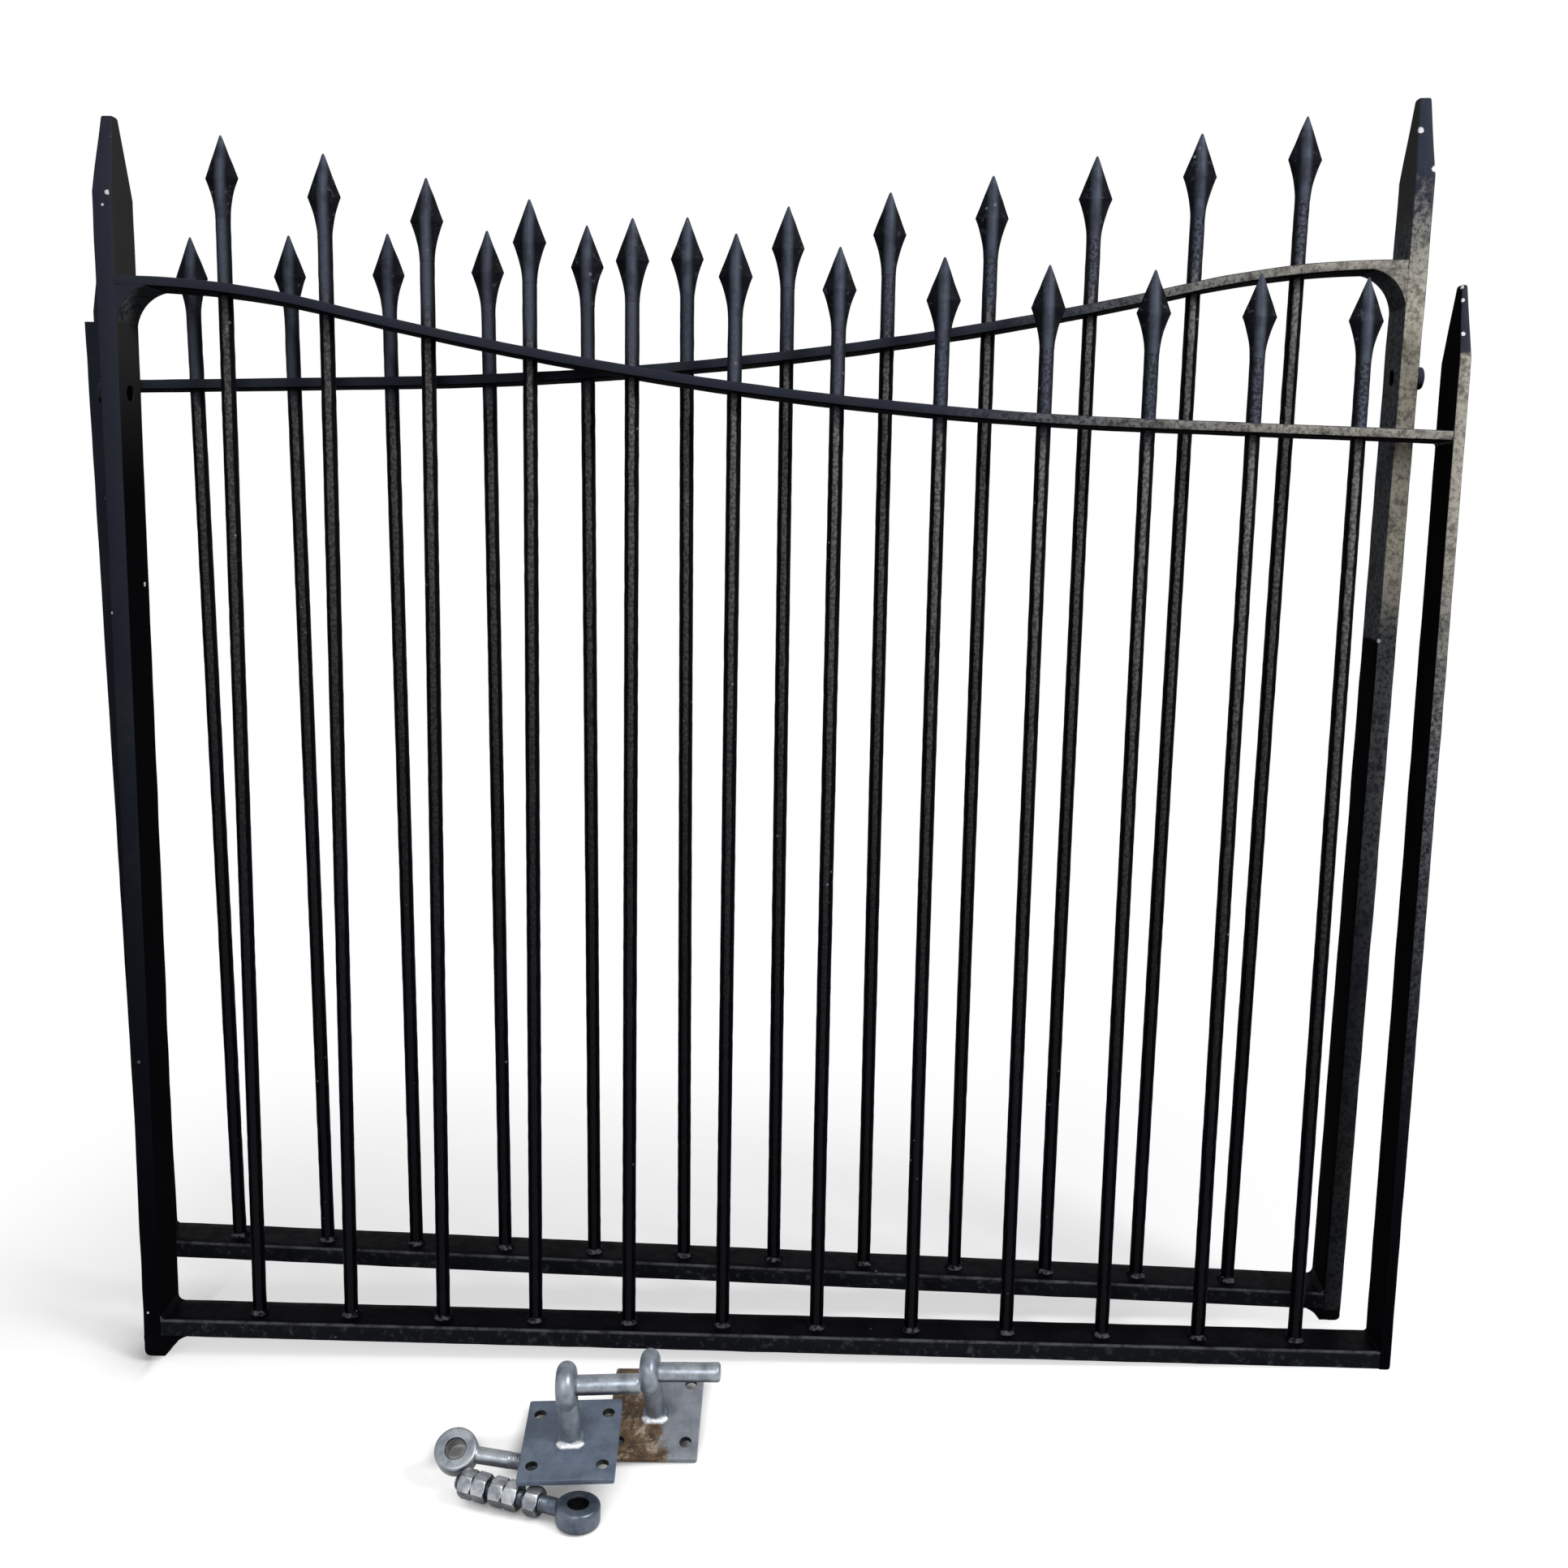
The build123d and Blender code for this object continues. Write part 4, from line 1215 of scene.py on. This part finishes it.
BOLT_TONES = {
    "left": ((112, 119, 128), (158, 163, 168), (0.3, 0.45), 0.75, 0.6),
    "right": ((64, 74, 88), (102, 111, 122), (0.3, 0.45), 0.75, 0.4),
}
for side, place in BOLT_PLACE.items():
    neck, half, rim, bore = NECK[side], EYE_THICK / 2, EYE_BORE / 2 + 0.2, EYE_BORE / 2 - 0.3
    profile = eased_disc(EYE_ACROSS, EYE_THICK, EYE_EASE, rim)
    profile += [(half - 0.6, bore), (-half + 0.6, bore)]
    shank = [(EYE_ACROSS / 2 - 6, BOLT_THICK / 2), (neck + 1.5, BOLT_THICK / 2 - 0.1)]
    bm = bmesh.new()
    turned(bm, profile, "Z", (0, 0, 0), 64, closed=True)
    turned(bm, shank, "X", (0, 0, 0), 40)
    eye = soft_union(bm, 0.8, 3, "eye")
    bm = bmesh.new()
    threaded_shank(bm, neck)
    bmesh.ops.recalc_face_normals(bm, faces=bm.faces)
    bm.from_mesh(eye)
    mesh = finish_mesh(bm, "eye_and_shank")
    finish = zinc(f"zinc_on_{side}_bolt", *BOLT_TONES[side], bore_shade, BOLT_UNDER[side])
    lay_iron(f"{side}_eye_and_shank", mesh, place, finish, f"{side}_eye_bolt", 80)

# Nuts on the right eye bolt: hexagon nuts with turned corners, one single and two locked pairs.
# Hot galvanised, brighter on the flats that a spanner has polished.
NUT_FLATS = 24.0
NUT_THICK = 14.0
NUT_CORNER = 1.9
LOCK_GAP = 0.3
NUTS = {"nut_a": (45.0, 1), "nuts_b": (74.0, 2), "nuts_c": (106.5, 2)}


def lay_nut(bm, middle):
    half, bore = NUT_THICK / 2, BOLT_THICK / 2 + 0.05
    outer = NUT_FLATS / 2 / math.cos(math.pi / 6)
    lifts = (0.0, 0.4, 0.8, 1.2, 1.6, NUT_CORNER)
    rims = [(-half + lift, outer - NUT_CORNER + lift) for lift in lifts]
    rims += [(-along, limit) for along, limit in reversed(rims)]
    rings = []
    for along, limit in [(-half, None)] + rims + [(half, None)]:
        ring = []
        for index in range(72):
            angle = 2 * math.pi * index / 72
            flat = NUT_FLATS / 2 / math.cos((angle + math.pi / 6) % (math.pi / 3) - math.pi / 6)
            radius = bore if limit is None else min(flat, limit)
            ring.append((middle + along, radius * math.sin(angle), radius * math.cos(angle)))
        rings.append(ring)
    lay_skin(bm, rings, closed=True)


def nut_end_shade(finish, spots, shade):
    """Painted shade that darkens the turned end faces, where nuts meet."""
    endwise = finish.span(finish.math("ABSOLUTE", finish.split(finish.facing)[0]), 0.35, 0.8)
    return finish.tint(shade, endwise, (26, 28, 33), 0.9)


NUT_TONES = ((108, 114, 122), (190, 193, 197), (0.25, 0.4), 0.85, 0.25)
zinc_nut = zinc("zinc_on_nuts", *NUT_TONES, nut_end_shade, BOLT_UNDER["right"])
for group, (middle, count) in NUTS.items():
    bm = bmesh.new()
    for index in range(count):
        lay_nut(bm, middle + (index - (count - 1) / 2) * (NUT_THICK + LOCK_GAP))
    name, node, body = f"right_hexagon_{group}", f"right_eye_bolt_{group}", f"right_bolt_{group}"
    mesh = finish_mesh(bm, "nuts")
    fit(name, mesh, BOLT_PLACE["right"], zinc_nut, body, [node], 28)

# Ground and background: a white floor that keeps the shadows round the leaves and glows less
# near them as painted shade, with soft painted shadow under the loose irons; it runs out to plain
# white all round, under a white surround.
SHADOW_PATCHES = ((432, 560, -250, -92), (522, 640, -205, -40), (352, 421, -231, -160))
SHADOW_EDGE = 32.0
SHADOW_DARK = 0.92
FLOOR_GREY = (0.5, 0.5, 0.5)
SHADOW_GREY = (0.02, 0.02, 0.02)
SHADOW_REACH = 0.15
SURROUND_LIGHT = 0.42

ground = Finish("white_floor")
along, back, _ = ground.split(ground.place)


def seen_rays(tree):
    """One for what is seen directly, in a reflection or through something, else nought."""
    paths = tree.nodes.new("ShaderNodeLightPath")
    seen = paths.outputs["Is Camera Ray"]
    for kind in ("Is Glossy Ray", "Is Transmission Ray"):
        either = tree.nodes.new("ShaderNodeMath")
        either.operation = "MAXIMUM"
        tree.links.new(seen, either.inputs[0])
        tree.links.new(paths.outputs[kind], either.inputs[1])
        seen = either.outputs[0]
    return seen


def shadow_patch(left, right, near, far):
    """Mask of the soft-edged painted shadow under one of the irons, in millimetres on the floor."""
    edges = []
    for value, low, high in ((along, left, right), (back, near, far)):
        edges.append(ground.span(value, low * MM, (low + SHADOW_EDGE) * MM))
        edges.append(ground.span(value, high * MM, (high - SHADOW_EDGE) * MM))
    return ground.product(*edges)


seen = seen_rays(ground.tree)
# Painted shadow: soft dark patches on the floor under the irons, behind their bolt holes and the left
# eye's bore.
painted_shadow = ground.product(ground.largest([shadow_patch(*patch) for patch in SHADOW_PATCHES]), SHADOW_DARK)
matt = ground.make("ShaderNodeBsdfDiffuse", {"Color": ground.mix(painted_shadow, FLOOR_GREY, SHADOW_GREY)}, 0)
# Painted shade: ambient occlusion dims the floor's glow round the irons and left of the heel, the glow
# runs lower behind the leaves than before them, and near the leaves the floor glows less than the
# plain white further out.
open_sky = ground.make("ShaderNodeAmbientOcclusion", {"Distance": SHADOW_REACH}, "AO")
by_irons = ground.math("MAXIMUM", ground.span(open_sky, 0.15, 0.65), ground.span(back, -0.1, -0.07))
by_heel = ground.math("MAXIMUM", ground.span(open_sky, 0.4, 1.0), ground.span(along, -0.02, 0.01))
unshadowed = ground.math("SUBTRACT", 1.0, painted_shadow)
lift = ground.span(back, -0.1, 0.12, 0.7, 0.5)
glow = ground.product(seen, by_irons, unshadowed, by_heel, lift)
soft_glow = ground.make("ShaderNodeEmission", {"Strength": glow}, 0)
shadowed = ground.make("ShaderNodeAddShader", {0: matt, 1: soft_glow}, 0)
full_glow = ground.make("ShaderNodeEmission", {"Strength": seen}, 0)
near_leaves = ground.product(
    ground.span(back, 1.1, 0.2),
    ground.span(back, -0.75, -0.1, 0.3, 1.0),
    ground.span(along, -0.5, 0.0),
    ground.span(along, 1.5, 1.0),
)
blend = ground.make("ShaderNodeMixShader", {0: near_leaves, 1: full_glow, 2: shadowed}, 0)
ground.join(blend, ground.tree.nodes["Material Output"].inputs["Surface"])
bm = bmesh.new()
bmesh.ops.create_grid(bm, x_segments=1, y_segments=1, size=30)
floor = put_in_scene("floor", finish_mesh(bm, "floor"))
floor.data.materials.append(ground.material)

world = bpy.data.worlds.new("white_surround")
bpy.context.scene.world = world
world.use_nodes = True
tree = world.node_tree
sky = tree.nodes["Background"]
level = tree.nodes.new("ShaderNodeMapRange")
tree.links.new(seen_rays(tree), level.inputs["Value"])
level.inputs["To Min"].default_value = SURROUND_LIGHT
level.inputs["To Max"].default_value = 1.0
tree.links.new(level.outputs["Result"], sky.inputs["Strength"])
sky.inputs["Color"].default_value = (1, 1, 1, 1)


# Studio light: a soft lamp high on the right that casts the shadows to the left, and a broader,
# weaker and slightly blue one before the pair.
def lamp(name, where, aim, size, power, colour=(1, 1, 1)):
    light = bpy.data.lights.new(name, "AREA")
    light.shape = "DISK"
    light.size = size
    light.energy = power
    light.color = colour
    holder = put_in_scene(name, light)
    holder.location = where
    holder.rotation_euler = (Vector(aim) - Vector(where)).to_track_quat("-Z", "Y").to_euler()


lamp("key_lamp", (3.0, -1.6, 2.5), (0.6, 0, 0.4), 1.0, 88)
lamp("front_lamp", (0.2, -3.2, 2.0), (0.7, 0, 0.6), 2.0, 36, (0.93, 0.96, 1.0))

# Camera: the photograph's own viewpoint, at waist height in front of the pair, turned a little
# to the left and looking slightly down.
VIEW_FROM = (0.804, -1.638, 0.890)
VIEW_ROLL = -1.168
VIEW_DIP = 8.474
VIEW_YAW = -2.885

camera = bpy.data.cameras.new("viewpoint")
camera.sensor_fit = "HORIZONTAL"
camera.sensor_width = 36.0
camera.lens = 36.0
view = put_in_scene("viewpoint", camera)
right, ahead, up = (turn("Y", VIEW_ROLL) @ turn("X", VIEW_DIP) @ turn("Z", VIEW_YAW)).to_3x3().row
facing = Matrix((right, up, -ahead)).transposed()
view.matrix_world = Matrix.Translation(VIEW_FROM) @ facing.to_4x4()
bpy.context.scene.camera = view

bpy.context.scene.view_settings.view_transform = "Standard"
